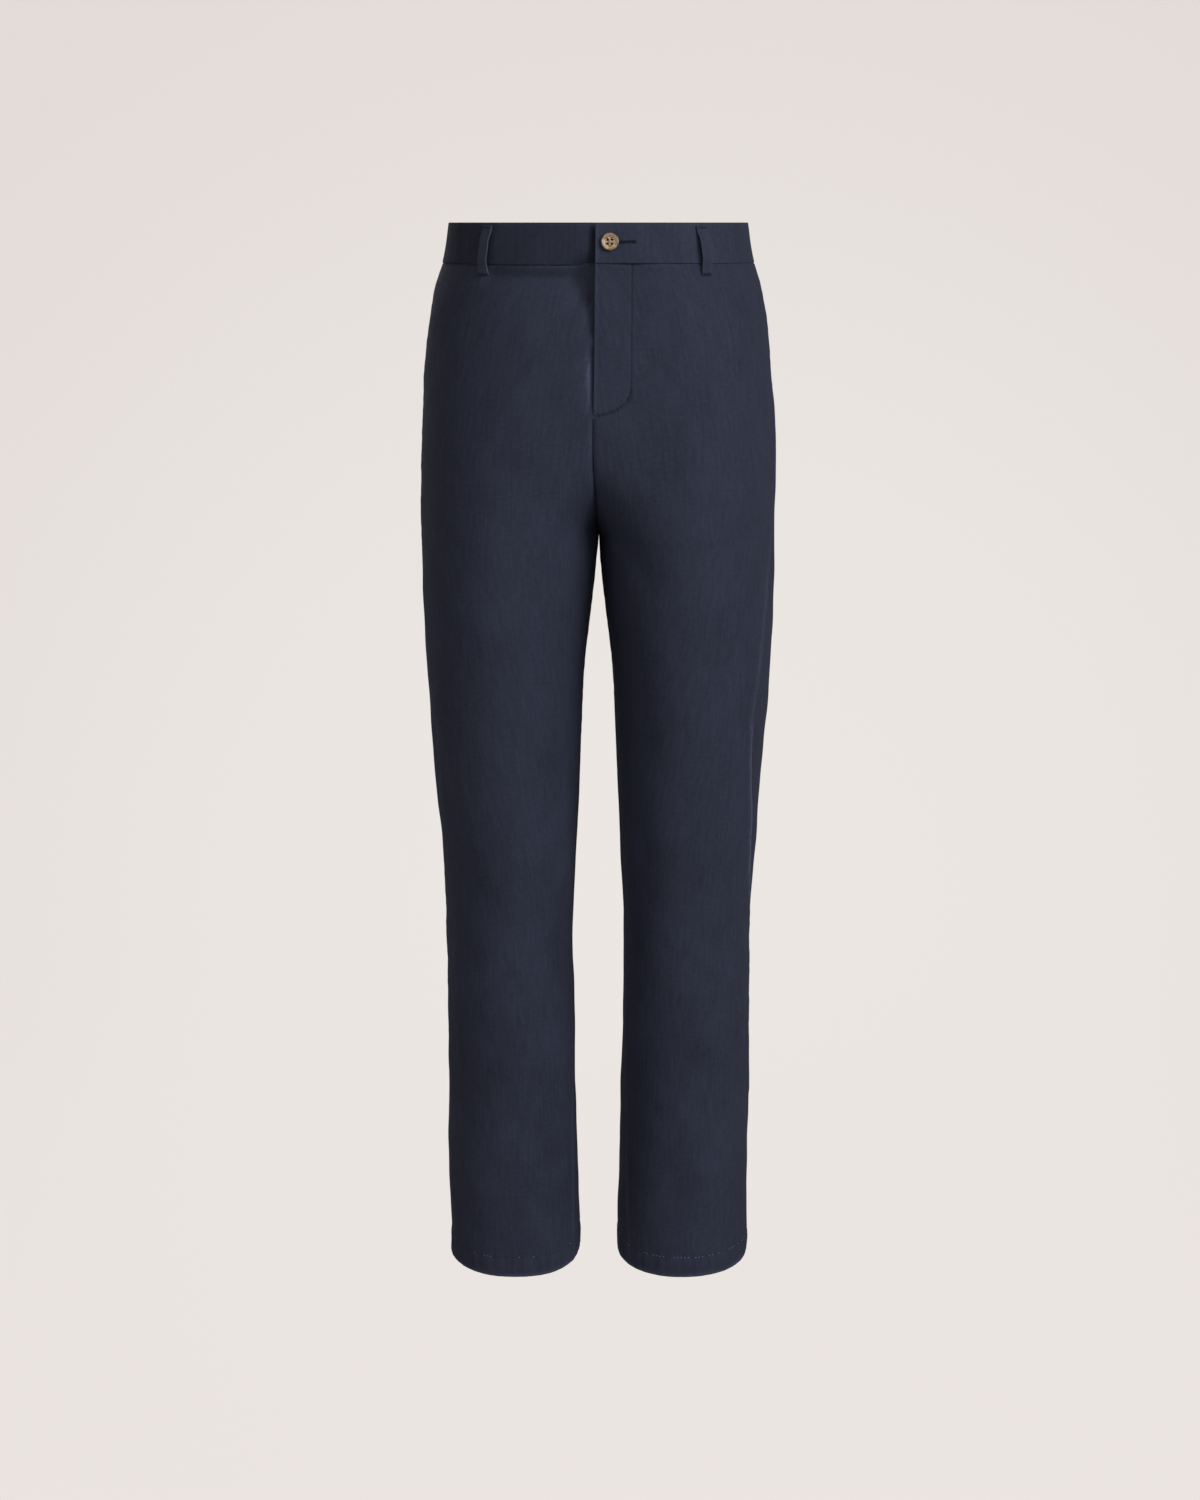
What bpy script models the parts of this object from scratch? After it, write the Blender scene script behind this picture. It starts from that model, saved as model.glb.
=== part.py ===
"""Chino trousers, filled out and hollow, held up at the waist as on a wearer.

Metres, +Z up. The origin is the centre of the waist opening, level with the top edge of the
waistband. The front faces -Y, and the wearer's left is +X.

Every piece of cloth lies on one form, whose level sections are worked out from the table
SECTIONS. A place on the form is a half (LEFT or RIGHT), a drop below the waistband's top edge and
a distance round from the side, less than 0 towards the front.
"""
import math
from functools import lru_cache

import bmesh
import bpy
import numpy as np
from mathutils import Vector

for item in list(bpy.data.objects):
    bpy.data.objects.remove(item, do_unlink=True)

LEFT, RIGHT = 1, -1

# Driving dimensions.
CLOTH = 0.0012            # wall of a panel
HEM_CLOTH = 0.0022        # wall of the turned-up hem
BAND_CLOTH = 0.0018       # wall of the waistband
SEAM_GAP = 0.0003         # between pieces that are sewn together
HEM_DROP = 1.050
HEM_TURN = 0.024          # depth of the turned-up hem
HEM_TIP = 0.079           # slope of the hem, lower in front
FORK_DROP = 0.301         # where the two legs part
FORK_Y = 0.020
KNEE_DROP = 0.690

# The form, one row for each level. side_x is the half-width at the side, inner_x the inside of the
# leg, leg_x the middle of the leg, where the section is deepest, front_y and back_y how far it
# reaches there, and side_y the depth at which it is widest.
SECTION_COLUMNS = ("drop", "side_x", "inner_x", "leg_x", "front_y", "back_y", "side_y")
SECTIONS = (
    (0.000, 0.1438, 0.0000, 0.030, -0.1080, 0.1120, 0.002),
    (0.038, 0.1505, 0.0000, 0.032, -0.1135, 0.1215, 0.003),
    (0.060, 0.1575, 0.0000, 0.035, -0.1158, 0.1275, 0.004),
    (0.090, 0.1634, 0.0000, 0.040, -0.1180, 0.1350, 0.006),
    (0.130, 0.1682, 0.0000, 0.048, -0.1198, 0.1435, 0.008),
    (0.170, 0.1718, 0.0000, 0.057, -0.1208, 0.1485, 0.010),
    (0.220, 0.1741, 0.0000, 0.070, -0.1206, 0.1495, 0.012),
    (0.260, 0.1745, 0.0000, 0.080, -0.1190, 0.1450, 0.012),
    (0.301, 0.1746, 0.0002, 0.087, -0.1165, 0.1370, 0.012),
    (0.340, 0.1744, 0.0032, 0.089, -0.1137, 0.1275, 0.010),
    (0.380, 0.1734, 0.0078, 0.0905, -0.1105, 0.1195, 0.008),
    (0.430, 0.1711, 0.0137, 0.092, -0.1060, 0.1120, 0.005),
    (0.500, 0.1665, 0.0171, 0.0918, -0.0990, 0.1015, 0.003),
    (0.570, 0.1615, 0.0198, 0.0907, -0.0920, 0.0935, 0.002),
    (0.640, 0.1562, 0.0231, 0.0897, -0.0850, 0.0880, 0.002),
    (0.680, 0.1541, 0.0252, 0.0897, -0.0815, 0.0862, 0.003),
    (0.720, 0.1538, 0.0263, 0.0900, -0.0778, 0.0852, 0.004),
    (0.780, 0.1541, 0.0251, 0.0896, -0.0727, 0.0845, 0.006),
    (0.870, 0.1545, 0.0236, 0.0890, -0.0665, 0.0840, 0.009),
    (0.960, 0.1549, 0.0217, 0.0883, -0.0612, 0.0838, 0.011),
    (1.020, 0.1542, 0.0199, 0.0871, -0.0578, 0.0832, 0.012),
    (1.050, 0.1539, 0.0198, 0.0868, -0.0562, 0.0828, 0.013),
)
OUTER_ROUNDING = 2.15     # exponents of the sections' superellipses; 2 is an ellipse
INNER_ROUNDING = 2.35
ARC_STEPS = 40            # points in a quarter of a section

# Above the fork the insides of the legs would run on past the middle, by slope times the height
# above the fork and by a curve times its square. The middle cuts them off along the rise.
PASSING_SLOPE = 0.06
PASSING_CURVE = {"front": 18.0, "back": 12.0}

# The centre front runs a little to the wearer's right of the middle.
CENTRE_COLUMNS = ("drop", "shift")
CENTRE_LINE = (
    (0.000, 0.0028),
    (0.178, 0.0046),
    (0.215, 0.0049),
    (0.250, 0.0041),
    (0.286, 0.0024),
    (0.301, 0.0000),
)
CENTRE_REACH = 0.050      # how far to each side the shift fades
CENTRE_DEPTH = 0.060      # and over what depth, from the fork forward

# Where the seams of the legs lie. side is how far forward of the widest point the side seam is,
# inseam how far forward of the inside of the leg.
SEAM_COLUMNS = ("drop", "side", "inseam")
SEAMS = (
    (0.000, 0.004, 0.000),
    (0.200, 0.018, 0.000),
    (0.301, 0.036, 0.000),
    (0.367, 0.047, 0.006),
    (0.430, 0.055, 0.012),
    (0.510, 0.058, 0.020),
    (0.580, 0.045, 0.026),
    (0.660, 0.022, 0.031),
    (0.720, 0.008, 0.034),
    (0.800, -0.004, 0.038),
    (0.900, -0.012, 0.044),
    (1.050, -0.020, 0.052),
)
RIGHT_LEG_TURN = 0.8      # the wearer's right leg turns this much as far

# The largest folds, soft troughs between two places on a leg.
FOLD_COLUMNS = ("half", "drop_from", "round_from", "drop_to", "round_to", "half_width", "depth")
FOLDS = (
    (RIGHT, 0.062, -0.230, 0.120, -0.246, 0.013, 0.0034),
    (RIGHT, 0.057, -0.208, 0.053, -0.130, 0.010, 0.0024),
    (RIGHT, 0.500, -0.045, 0.640, -0.085, 0.020, 0.0026),
    (RIGHT, 0.790, -0.150, 0.930, -0.165, 0.018, 0.0022),
    (RIGHT, 0.560, 0.080, 0.660, 0.125, 0.020, 0.0030),
    (LEFT, 0.640, -0.060, 0.730, -0.085, 0.020, 0.0018),
    (LEFT, 0.640, 0.110, 0.560, 0.070, 0.020, 0.0030),
    (LEFT, 0.270, 0.180, 0.330, 0.120, 0.022, 0.0030),
    (RIGHT, 0.275, 0.175, 0.340, 0.115, 0.022, 0.0026),
)

# Levels at which a panel has a row of points.
PANEL_LEVELS = (0.048, 0.056, 0.065, 0.080, 0.100, 0.120, 0.145, 0.165, 0.178, 0.197, 0.218,
                0.238, 0.255, 0.269, 0.280, 0.288, 0.295, FORK_DROP, 0.307, 0.318, 0.335, 0.355,
                0.380, 0.410, 0.440, 0.475, 0.510, 0.545, 0.580, 0.615, 0.650, 0.680, 0.710,
                0.745, 0.785, 0.830, 0.880, 0.930, 0.980, HEM_DROP - HEM_TURN)
HEM_STEP = 0.0005         # height over which the wall thickens at the hem
FRONT_COLUMNS = (4, 5, 7) # from the inner edge to the hinge, the foremost point and the side
BACK_COLUMNS = (8, 5, 4)  # from the side to the rearmost point, the hinge and the inner edge
HINGE_REACH = 0.104       # the hinge stays this far inside the deepest point close above the fork
HINGE_SHARE = 0.9         # and higher up, this share of the way to the inner edge

# Waistband.
BAND_FOOT = {LEFT: 0.0372, RIGHT: 0.0392}    # drop of the waist seam at the centre front
BAND_SAG = {LEFT: 0.0, RIGHT: 0.0010}        # drop of the top edge there
BAND_EASE = 0.180         # distance from the centre front over which both halves come level
BAND_LEVEL_FOOT = 0.0380
BAND_PROUD = 0.0006       # the waistband's face stands out from the panels
BAND_COLUMNS, BAND_ROWS = 34, 2
UNDERLAP = 0.031          # reach of the right half under the left, past the centre front
UNDERLAP_TRIM = 0.0010
OVERLAP_LIFT = 0.0021     # the left half rides over it
OVERLAP_EASE = 0.022

# Fly.
FLY_FOOT = 0.178
FLY_LIFT = 0.0018         # the left front stands out along its folded edge
FLY_WIDTH = 0.045
FLY_FADE = 0.030
FLY_TUCK = 0.007          # the right front's edge reaches this far under the left
SHIELD_REACH = {LEFT: 0.036, RIGHT: 0.012}   # from the centre front to each side
SHIELD_CLOTH = 0.0010
SHIELD_DEPTH = CLOTH + 3 * SEAM_GAP          # its face lies this far inside the form
SHIELD_FOOT = 0.186
SHIELD_TOP = 0.0400
SHIELD_COLUMNS = 12

# Belt loops, each by its distance from the centre front or centre back at its top and foot.
LOOP_COLUMNS = ("name", "half", "face", "top_x", "foot_x")
LOOPS = (
    ("loop_front_left", LEFT, "front", 0.0968, 0.1020),
    ("loop_front_right", RIGHT, "front", 0.1035, 0.1086),
    ("loop_back_left", LEFT, "back", 0.0860, 0.0895),
    ("loop_back_right", RIGHT, "back", 0.0860, 0.0895),
    ("loop_centre_back", LEFT, "back", 0.0, 0.0),
)
LOOP_WIDTH = 0.0122
LOOP_COLUMNS_ACROSS = 2
LOOP_CLOTH = 0.0016
LOOP_FOLD = 0.0010        # extra thickness where an end is folded under
LOOP_TOP = 0.0032
LOOP_FOOT = 0.0505
LOOP_SEAT = 0.0055        # length of each sewn end
LOOP_GAP = 0.0068         # room for a belt behind the loop
LOOP_RISE = 0.0070        # length over which the loop leaves its seat

# Button.
BUTTON_X = 0.0110
BUTTON_DROP = 0.0170
BUTTON_RADIUS = 0.0085
BUTTON_SEGMENTS = 32
BUTTON_PROFILE = (        # radius and height above its back
    (0.0000, 0.0000), (0.0062, 0.0000), (0.0078, 0.0007), (0.0085, 0.0016), (0.0082, 0.0026),
    (0.0073, 0.0030), (0.0063, 0.0028), (0.0052, 0.0020), (0.0000, 0.0019),
)
HOLE_RADIUS = 0.0009
HOLE_SPACING = 0.0028
HOLE_SEGMENTS = 10
DRILL_LENGTH = 0.020
JOIN = 0.00001            # points closer than this are one
SHARP = math.radians(35)  # edges that turn by more than this are sharp

NAVY = {"colour": (0.020, 0.026, 0.045), "roughness": 0.85}
HORN = {"colour": (0.42, 0.27, 0.14), "roughness": 0.35}


def read_table(columns, rows):
    """A table of numbers, as one array for each named column."""
    return dict(zip(columns, np.array(rows, dtype=float).T))


FORM = read_table(SECTION_COLUMNS, SECTIONS)
CENTRE = read_table(CENTRE_COLUMNS, CENTRE_LINE)
LEG_SEAMS = read_table(SEAM_COLUMNS, SEAMS)


def at(table, column, drop):
    """A column of a table at a drop, on a smooth curve through its rows."""
    drops, values = table["drop"], table[column]
    drop = min(max(drop, drops[0]), drops[-1])
    row = min(int(np.searchsorted(drops, drop, side="right")) - 1, len(drops) - 2)
    slopes = np.gradient(values, drops)
    span = drops[row + 1] - drops[row]
    t = (drop - drops[row]) / span
    return ((1 + 2 * t) * (1 - t) ** 2 * values[row] + t * (1 - t) ** 2 * span * slopes[row]
            + t * t * (3 - 2 * t) * values[row + 1] - t * t * (1 - t) * span * slopes[row + 1])


def ease(t):
    """From 0 to 1 as t goes from 0 to 1, level at both ends."""
    t = min(max(t, 0.0), 1.0)
    return t * t * (3 - 2 * t)


def inner_arc(drop, face, inner_x, leg_x, deep_y):
    """Points from the middle, or the inside of the leg, out to the leg's deepest point."""
    power = 2 / INNER_ROUNDING
    above = max(FORK_DROP - drop, 0.0)
    width = leg_x - inner_x + PASSING_SLOPE * above + PASSING_CURVE[face] * above ** 2
    end = math.asin(((leg_x - inner_x) / width) ** (1 / power))
    turn = np.linspace(end, 0, ARC_STEPS)
    return np.column_stack((leg_x - width * np.sin(turn) ** power,
                            FORK_Y + (deep_y - FORK_Y) * np.abs(np.cos(turn)) ** power))


def outer_arc(leg_x, side_x, side_y, deep_y):
    """Points from the leg's deepest point out to the side."""
    power = 2 / OUTER_ROUNDING
    turn = np.linspace(0, math.pi / 2, ARC_STEPS)
    return np.column_stack((leg_x + (side_x - leg_x) * np.sin(turn) ** power,
                            side_y + (deep_y - side_y) * np.abs(np.cos(turn)) ** power))


@lru_cache(maxsize=None)
def section(drop):
    """The left half's section: its points from the centre front round to the centre back, and
    their distances from the side. Below the fork it closes on itself inside the leg."""
    side_x, inner_x, leg_x, front_y, back_y, side_y = (
        at(FORM, column, drop) for column in SECTION_COLUMNS[1:])
    inner_x = max(inner_x, SEAM_GAP / 2) if drop > FORK_DROP else SEAM_GAP / 2
    front_in = inner_arc(drop, "front", inner_x, leg_x, front_y)
    front_out = outer_arc(leg_x, side_x, side_y, front_y)
    back_out = outer_arc(leg_x, side_x, side_y, back_y)[::-1]
    back_in = inner_arc(drop, "back", inner_x, leg_x, back_y)[::-1]
    points = np.vstack((front_in, front_out[1:], back_out[1:], back_in[1:]))
    steps = np.hypot(*np.diff(points, axis=0).T)
    distance = np.concatenate(([0.0], np.cumsum(steps)))
    return points, distance - distance[2 * ARC_STEPS - 2]


def front_end(drop):
    """Distance round from the side to the centre front, or to the inside of the leg."""
    return section(drop)[1][0]


def back_end(drop):
    """Distance round from the side to the centre back, or to the inside of the leg."""
    return section(drop)[1][-1]


def deepest(drop):
    """Distances round of the leg's foremost and rearmost points."""
    distance = section(drop)[1]
    return distance[ARC_STEPS - 1], distance[-ARC_STEPS]


def plan(drop, along):
    """Plan position on the left half. Past the centre it runs on over the other half, and below
    the fork it goes on round the leg."""
    points, distance = section(drop)
    first, last = distance[0], distance[-1]
    mirror = 1
    if drop > FORK_DROP:
        along = first + (along - first) % (last - first)
    elif along < first:
        along, mirror = 2 * first - along, -1
    elif along > last:
        along, mirror = 2 * last - along, -1
    return np.array((mirror * np.interp(along, distance, points[:, 0]),
                     np.interp(along, distance, points[:, 1])))


def outward(drop, along, step=0.002):
    """Level direction out of the form, on the left half."""
    first, last = front_end(drop), back_end(drop)
    low, high = along - step, along + step
    if drop <= FORK_DROP and first <= along <= last:
        low, high = max(low, first), min(high, last)
    across = plan(drop, high) - plan(drop, low)
    return np.array((across[1], -across[0])) / math.hypot(*across)


def fold_depth(half, drop, along):
    """How far the folds take the cloth in at a place."""
    depth = 0.0
    for values in FOLDS:
        fold = dict(zip(FOLD_COLUMNS, values))
        if fold["half"] != half:
            continue
        start = np.array((fold["drop_from"], fold["round_from"]))
        run = np.array((fold["drop_to"], fold["round_to"])) - start
        place = np.array((drop, along)) - start
        share = min(max(place @ run / (run @ run), 0.0), 1.0)
        away = math.hypot(*(place - share * run)) / fold["half_width"]
        depth += fold["depth"] * math.exp(-away * away)
    return depth


def on_form(half, drop, along, out=0.0):
    """A place on the form, moved level out of it by out."""
    x, y = plan(drop, along) + outward(drop, along) * (out - fold_depth(half, drop, along))
    front = ease((FORK_Y - y) / CENTRE_DEPTH)
    shift = at(CENTRE, "shift", drop) * math.exp(-(x / CENTRE_REACH) ** 2) * front
    tip = HEM_TIP * ease((drop - KNEE_DROP) / (HEM_DROP - KNEE_DROP))
    middle_y = (at(FORM, "front_y", drop) + at(FORM, "back_y", drop)) / 2
    return Vector((half * x - shift, y, -drop + tip * (y - middle_y)))


def material(name, finish):
    """A plain material for a node."""
    made = bpy.data.materials.new(name)
    made.use_nodes = True
    shader = made.node_tree.nodes["Principled BSDF"]
    shader.inputs["Base Color"].default_value = (*finish["colour"], 1)
    shader.inputs["Roughness"].default_value = finish["roughness"]
    return made


def as_node(name, mesh, finish):
    """A named object from a bmesh, which is freed, smooth but at its edges."""
    bmesh.ops.recalc_face_normals(mesh, faces=mesh.faces)
    if mesh.calc_volume(signed=True) < 0:
        bmesh.ops.reverse_faces(mesh, faces=mesh.faces)
    data = bpy.data.meshes.new(name)
    mesh.to_mesh(data)
    mesh.free()
    data.shade_smooth()
    data.set_sharp_from_angle(angle=SHARP)
    data.materials.append(material(name, finish))
    node = bpy.data.objects.new(name, data)
    bpy.context.collection.objects.link(node)
    return node


def wall(name, columns, rows, place, finish=NAVY):
    """A wall of cloth: a flat slab of columns by rows, bent by place(share across, row, inside).

    share across goes from 0 to 1, row counts the rows of points from 0 to rows, and inside is
    True for the wall's inner face.
    """
    mesh = bmesh.new()
    bmesh.ops.create_grid(mesh, x_segments=columns, y_segments=rows, size=0.5)
    grown = bmesh.ops.extrude_face_region(mesh, geom=mesh.faces[:], use_keep_orig=True)
    for item in grown["geom"]:
        if isinstance(item, bmesh.types.BMVert):
            item.co.z = 1.0
    for vert in mesh.verts:
        share, down, inside = vert.co.x + 0.5, 0.5 - vert.co.y, vert.co.z > 0.5
        vert.co = place(round(share * columns) / columns, round(down * rows), inside)
    bmesh.ops.triangulate(mesh, faces=mesh.faces, quad_method="SHORT_EDGE", ngon_method="BEAUTY")
    return as_node(name, mesh, finish)


def band_foot(half, from_centre):
    """Drop of the waist seam at a distance from the centre front. Past it, the right half's end
    is cut shorter than the left half that covers it."""
    if from_centre < 0:
        return BAND_FOOT[LEFT] - UNDERLAP_TRIM
    foot = BAND_FOOT[half]
    return foot + (BAND_LEVEL_FOOT - foot) * ease(from_centre / BAND_EASE)


def seam_turn(half, column, drop):
    """How far forward a seam of the leg runs."""
    turn = at(LEG_SEAMS, column, drop)
    return turn * (RIGHT_LEG_TURN if half == RIGHT else 1)


def panel_wall(drop):
    """Thickness of a panel, more where the hem is turned up."""
    return HEM_CLOTH if drop > HEM_DROP - HEM_TURN + HEM_STEP / 2 else CLOTH


def fly_lift(half, drop, from_edge):
    """How far the left front stands out near its folded edge."""
    if half == RIGHT:
        return 0.0
    down = 1 - ease((drop - FLY_FOOT) / FLY_FADE)
    return FLY_LIFT * down * (1 - ease(from_edge / FLY_WIDTH))


def hinge_reach(reach, fork_reach, drop):
    """How far inside the leg's deepest point the hinge lies, the column from which the columns
    fan out to the rise. reach is the distance from there to the inner edge, fork_reach the same
    at the fork."""
    if drop > FORK_DROP:
        return reach * HINGE_REACH / fork_reach
    return min(HINGE_REACH, HINGE_SHARE * reach)


def front_marks(half, drop):
    """Distances round of a front's centre or inseam edge, its hinge, its foremost point and its
    side edge."""
    inner, foremost = front_end(drop), deepest(drop)[0]
    if drop > FORK_DROP:
        inner += seam_turn(half, "inseam", drop) + SEAM_GAP / 2
    elif half == RIGHT and drop < FLY_FOOT:
        inner -= FLY_TUCK
    fork_reach = deepest(FORK_DROP)[0] - front_end(FORK_DROP)
    hinge = foremost - hinge_reach(foremost - inner, fork_reach, drop)
    return inner, hinge, foremost, -seam_turn(half, "side", drop) - SEAM_GAP / 2


def back_marks(half, drop):
    """Distances round of a back's side edge, its rearmost point, its hinge and its centre or
    inseam edge."""
    inner, rearmost = back_end(drop), deepest(drop)[1]
    if drop > FORK_DROP:
        inner += seam_turn(half, "inseam", drop) - SEAM_GAP / 2
    fork_reach = back_end(FORK_DROP) - deepest(FORK_DROP)[1]
    hinge = rearmost + hinge_reach(inner - rearmost, fork_reach, drop)
    return -seam_turn(half, "side", drop) + SEAM_GAP / 2, rearmost, hinge, inner


def panel(name, half, marks, columns):
    """A front or back, from the waist seam to the hem. Its columns are spaced evenly between the
    marks at each level."""
    levels = (*PANEL_LEVELS, HEM_DROP - HEM_TURN + HEM_STEP, HEM_DROP)
    shares = np.concatenate(([0.0], np.cumsum(columns))) / sum(columns)

    def place(share, row, inside):
        drop = levels[row - 1]
        if row == 0:
            along = np.interp(share, shares, marks(half, BAND_LEVEL_FOOT))
            from_centre = max(along - front_end(BAND_LEVEL_FOOT), 0.0)
            drop = band_foot(half, from_centre) + SEAM_GAP
        along = np.interp(share, shares, marks(half, drop))
        out = fly_lift(half, drop, along - front_end(drop)) if drop < FORK_DROP else 0.0
        return on_form(half, drop, along, out - (panel_wall(drop) if inside else 0.0))

    return wall(name, sum(columns), len(levels), place)


def waistband(name, half, past_centre):
    """Half of the waistband, from its end past the centre front to the centre back."""

    def place(share, row, inside):
        first, last = front_end(0.0) - past_centre, back_end(0.0)
        from_centre = first + (last - first) * share - front_end(0.0)
        top = BAND_SAG[half] * (1 - ease(from_centre / BAND_EASE))
        drop = top + (band_foot(half, from_centre) - top) * row / BAND_ROWS
        # The same share of the way round at each level keeps the ends square.
        reach = (back_end(drop) - front_end(drop)) / (back_end(0.0) - front_end(0.0))
        along = front_end(drop) + from_centre * (reach if from_centre > 0 else 1)
        along = min(along, back_end(drop))
        out = BAND_PROUD - (BAND_CLOTH if inside else 0.0)
        if half == LEFT:
            out += OVERLAP_LIFT * (1 - ease((from_centre - UNDERLAP) / OVERLAP_EASE))
        return on_form(half, drop, along, out)

    return wall(name, BAND_COLUMNS, BAND_ROWS, place)


def fly_shield():
    """The strip behind the fly, sewn to the right front, whose folds it follows."""
    levels = (SHIELD_TOP, *(drop for drop in PANEL_LEVELS if drop < SHIELD_FOOT), SHIELD_FOOT)

    def place(share, row, inside):
        drop = levels[row]
        from_centre = SHIELD_REACH[RIGHT] - (SHIELD_REACH[LEFT] + SHIELD_REACH[RIGHT]) * share
        out = -SHIELD_DEPTH - (SHIELD_CLOTH if inside else 0.0)
        return on_form(RIGHT, drop, front_end(drop) + from_centre, out)

    return wall("fly_shield", SHIELD_COLUMNS, len(levels) - 1, place)


def along_at_x(drop, face, x):
    """Distance round at which the front or back of the left half has a given x."""
    points, distance = section(drop)
    side = 2 * ARC_STEPS - 2
    if face == "front":
        return np.interp(x, points[:side, 0], distance[:side])
    return np.interp(-x, -points[side:, 0], distance[side:])


def loop_levels():
    """Drops at which a belt loop has a row of points, close together where it leaves its seats."""
    leave, land = LOOP_TOP + LOOP_SEAT, LOOP_FOOT - LOOP_SEAT
    middle = (leave + land) / 2
    return (LOOP_TOP, leave, leave + LOOP_RISE / 2, leave + LOOP_RISE, middle,
            land - LOOP_RISE, land - LOOP_RISE / 2, land, LOOP_FOOT)


def belt_loop(values):
    """A belt loop: a folded strip sewn down at both ends, with room for a belt behind it."""
    loop = dict(zip(LOOP_COLUMNS, values))
    levels = loop_levels()
    leave, land = LOOP_TOP + LOOP_SEAT, LOOP_FOOT - LOOP_SEAT

    def place(share, row, inside):
        drop = levels[row]
        down = (drop - LOOP_TOP) / (LOOP_FOOT - LOOP_TOP)
        x = loop["top_x"] + (loop["foot_x"] - loop["top_x"]) * down
        along = along_at_x(drop, loop["face"], x) + LOOP_WIDTH * (share - 0.5)
        off = ease((drop - leave) / LOOP_RISE) * ease((land - drop) / LOOP_RISE)
        face = SEAM_GAP + BAND_PROUD * (1 - ease((drop - land) / LOOP_SEAT)) + LOOP_GAP * off
        thick = LOOP_CLOTH + LOOP_FOLD * (1 - off)
        return on_form(loop["half"], drop, along, face + (0.0 if inside else thick))

    return wall(loop["name"], LOOP_COLUMNS_ACROSS, len(levels) - 1, place)


def button():
    """A turned four-hole button, lying on the left half of the waistband."""
    mesh = bmesh.new()
    verts = [mesh.verts.new((radius, 0, height)) for radius, height in BUTTON_PROFILE]
    edges = [mesh.edges.new(pair) for pair in zip(verts, verts[1:])]
    bmesh.ops.spin(mesh, geom=verts + edges, axis=(0, 0, 1), cent=(0, 0, 0), angle=2 * math.pi,
                   steps=BUTTON_SEGMENTS, use_merge=True)
    bmesh.ops.remove_doubles(mesh, verts=mesh.verts, dist=JOIN)
    node = as_node("button", mesh, HORN)

    cutter_mesh = bmesh.new()
    for x in (-HOLE_SPACING / 2, HOLE_SPACING / 2):
        for y in (-HOLE_SPACING / 2, HOLE_SPACING / 2):
            drill = bmesh.ops.create_cone(cutter_mesh, cap_ends=True, segments=HOLE_SEGMENTS,
                                          radius1=HOLE_RADIUS, radius2=HOLE_RADIUS,
                                          depth=DRILL_LENGTH)
            bmesh.ops.translate(cutter_mesh, verts=drill["verts"], vec=(x, y, 0))
    drills = as_node("button_hole_drills", cutter_mesh, HORN)
    drills.hide_render = True
    drills.display_type = "WIRE"
    drills.parent = node
    cut = node.modifiers.new("holes", "BOOLEAN")
    cut.operation = "DIFFERENCE"
    cut.solver = "EXACT"
    cut.object = drills

    def face(drop):
        along = along_at_x(drop, "front", BUTTON_X)
        return on_form(LEFT, drop, along, BAND_PROUD + OVERLAP_LIFT)

    down = face(BUTTON_DROP + BUTTON_RADIUS) - face(BUTTON_DROP - BUTTON_RADIUS)
    out = Vector((0, down.z, -down.y)).normalized()
    node.rotation_mode = "QUATERNION"
    node.rotation_quaternion = out.to_track_quat("Z", "Y")
    node.location = face(BUTTON_DROP) + out * SEAM_GAP
    return node


for half, side_name in ((LEFT, "left"), (RIGHT, "right")):
    panel(f"front_{side_name}", half, front_marks, FRONT_COLUMNS)
    panel(f"back_{side_name}", half, back_marks, BACK_COLUMNS)
waistband("waistband_left", LEFT, 0.0)
waistband("waistband_right", RIGHT, UNDERLAP)
fly_shield()
for row in LOOPS:
    belt_loop(row)
button()
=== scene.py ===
"""Navy chino trousers, filled out and hollow, held up at the waist as on a wearer.

Metres, +Z up. The origin is the centre of the waist opening, level with the top edge of the
waistband. The front faces -Y, and the wearer's left is +X.
"""
import math
from functools import lru_cache

import bmesh
import bpy
import numpy as np
from mathutils import Matrix, Vector


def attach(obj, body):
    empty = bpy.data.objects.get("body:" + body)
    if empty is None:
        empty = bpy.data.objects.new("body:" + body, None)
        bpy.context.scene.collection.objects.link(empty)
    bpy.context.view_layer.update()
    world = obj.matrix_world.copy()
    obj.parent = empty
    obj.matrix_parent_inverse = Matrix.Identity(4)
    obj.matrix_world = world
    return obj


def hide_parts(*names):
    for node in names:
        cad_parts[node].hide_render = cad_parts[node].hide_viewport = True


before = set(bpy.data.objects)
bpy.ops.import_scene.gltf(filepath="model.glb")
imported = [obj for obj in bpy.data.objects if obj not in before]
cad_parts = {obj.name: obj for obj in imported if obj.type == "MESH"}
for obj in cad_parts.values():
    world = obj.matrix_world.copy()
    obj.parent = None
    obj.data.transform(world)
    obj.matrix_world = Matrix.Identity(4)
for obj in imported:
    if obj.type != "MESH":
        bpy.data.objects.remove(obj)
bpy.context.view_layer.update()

# ---- Fronts and backs ----
# Two fronts and two backs of mid-weight cotton twill, garment-dyed navy, each cut from the waist
# seam to the hem. They are sewn together at the sides, the insides of the legs and along the
# rise, with their edges turned in, and the hem is turned up inside and stitched through.
LEFT, RIGHT = 1, -1
SIDE = {LEFT: "left", RIGHT: "right"}
CLOTH = 0.0006            # its thickness
HEM_DROP = 1.050          # every drop is measured down from the waistband's top edge
HEM_TURN = 0.024          # depth of the turned-up hem
HEM_TIP = 0.110           # slope of the hem, lower in front
FORK_DROP = 0.301         # where the two legs part
FORK_Y = 0.020
KNEE_DROP = 0.690         # from which the hem's slope comes in

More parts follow.
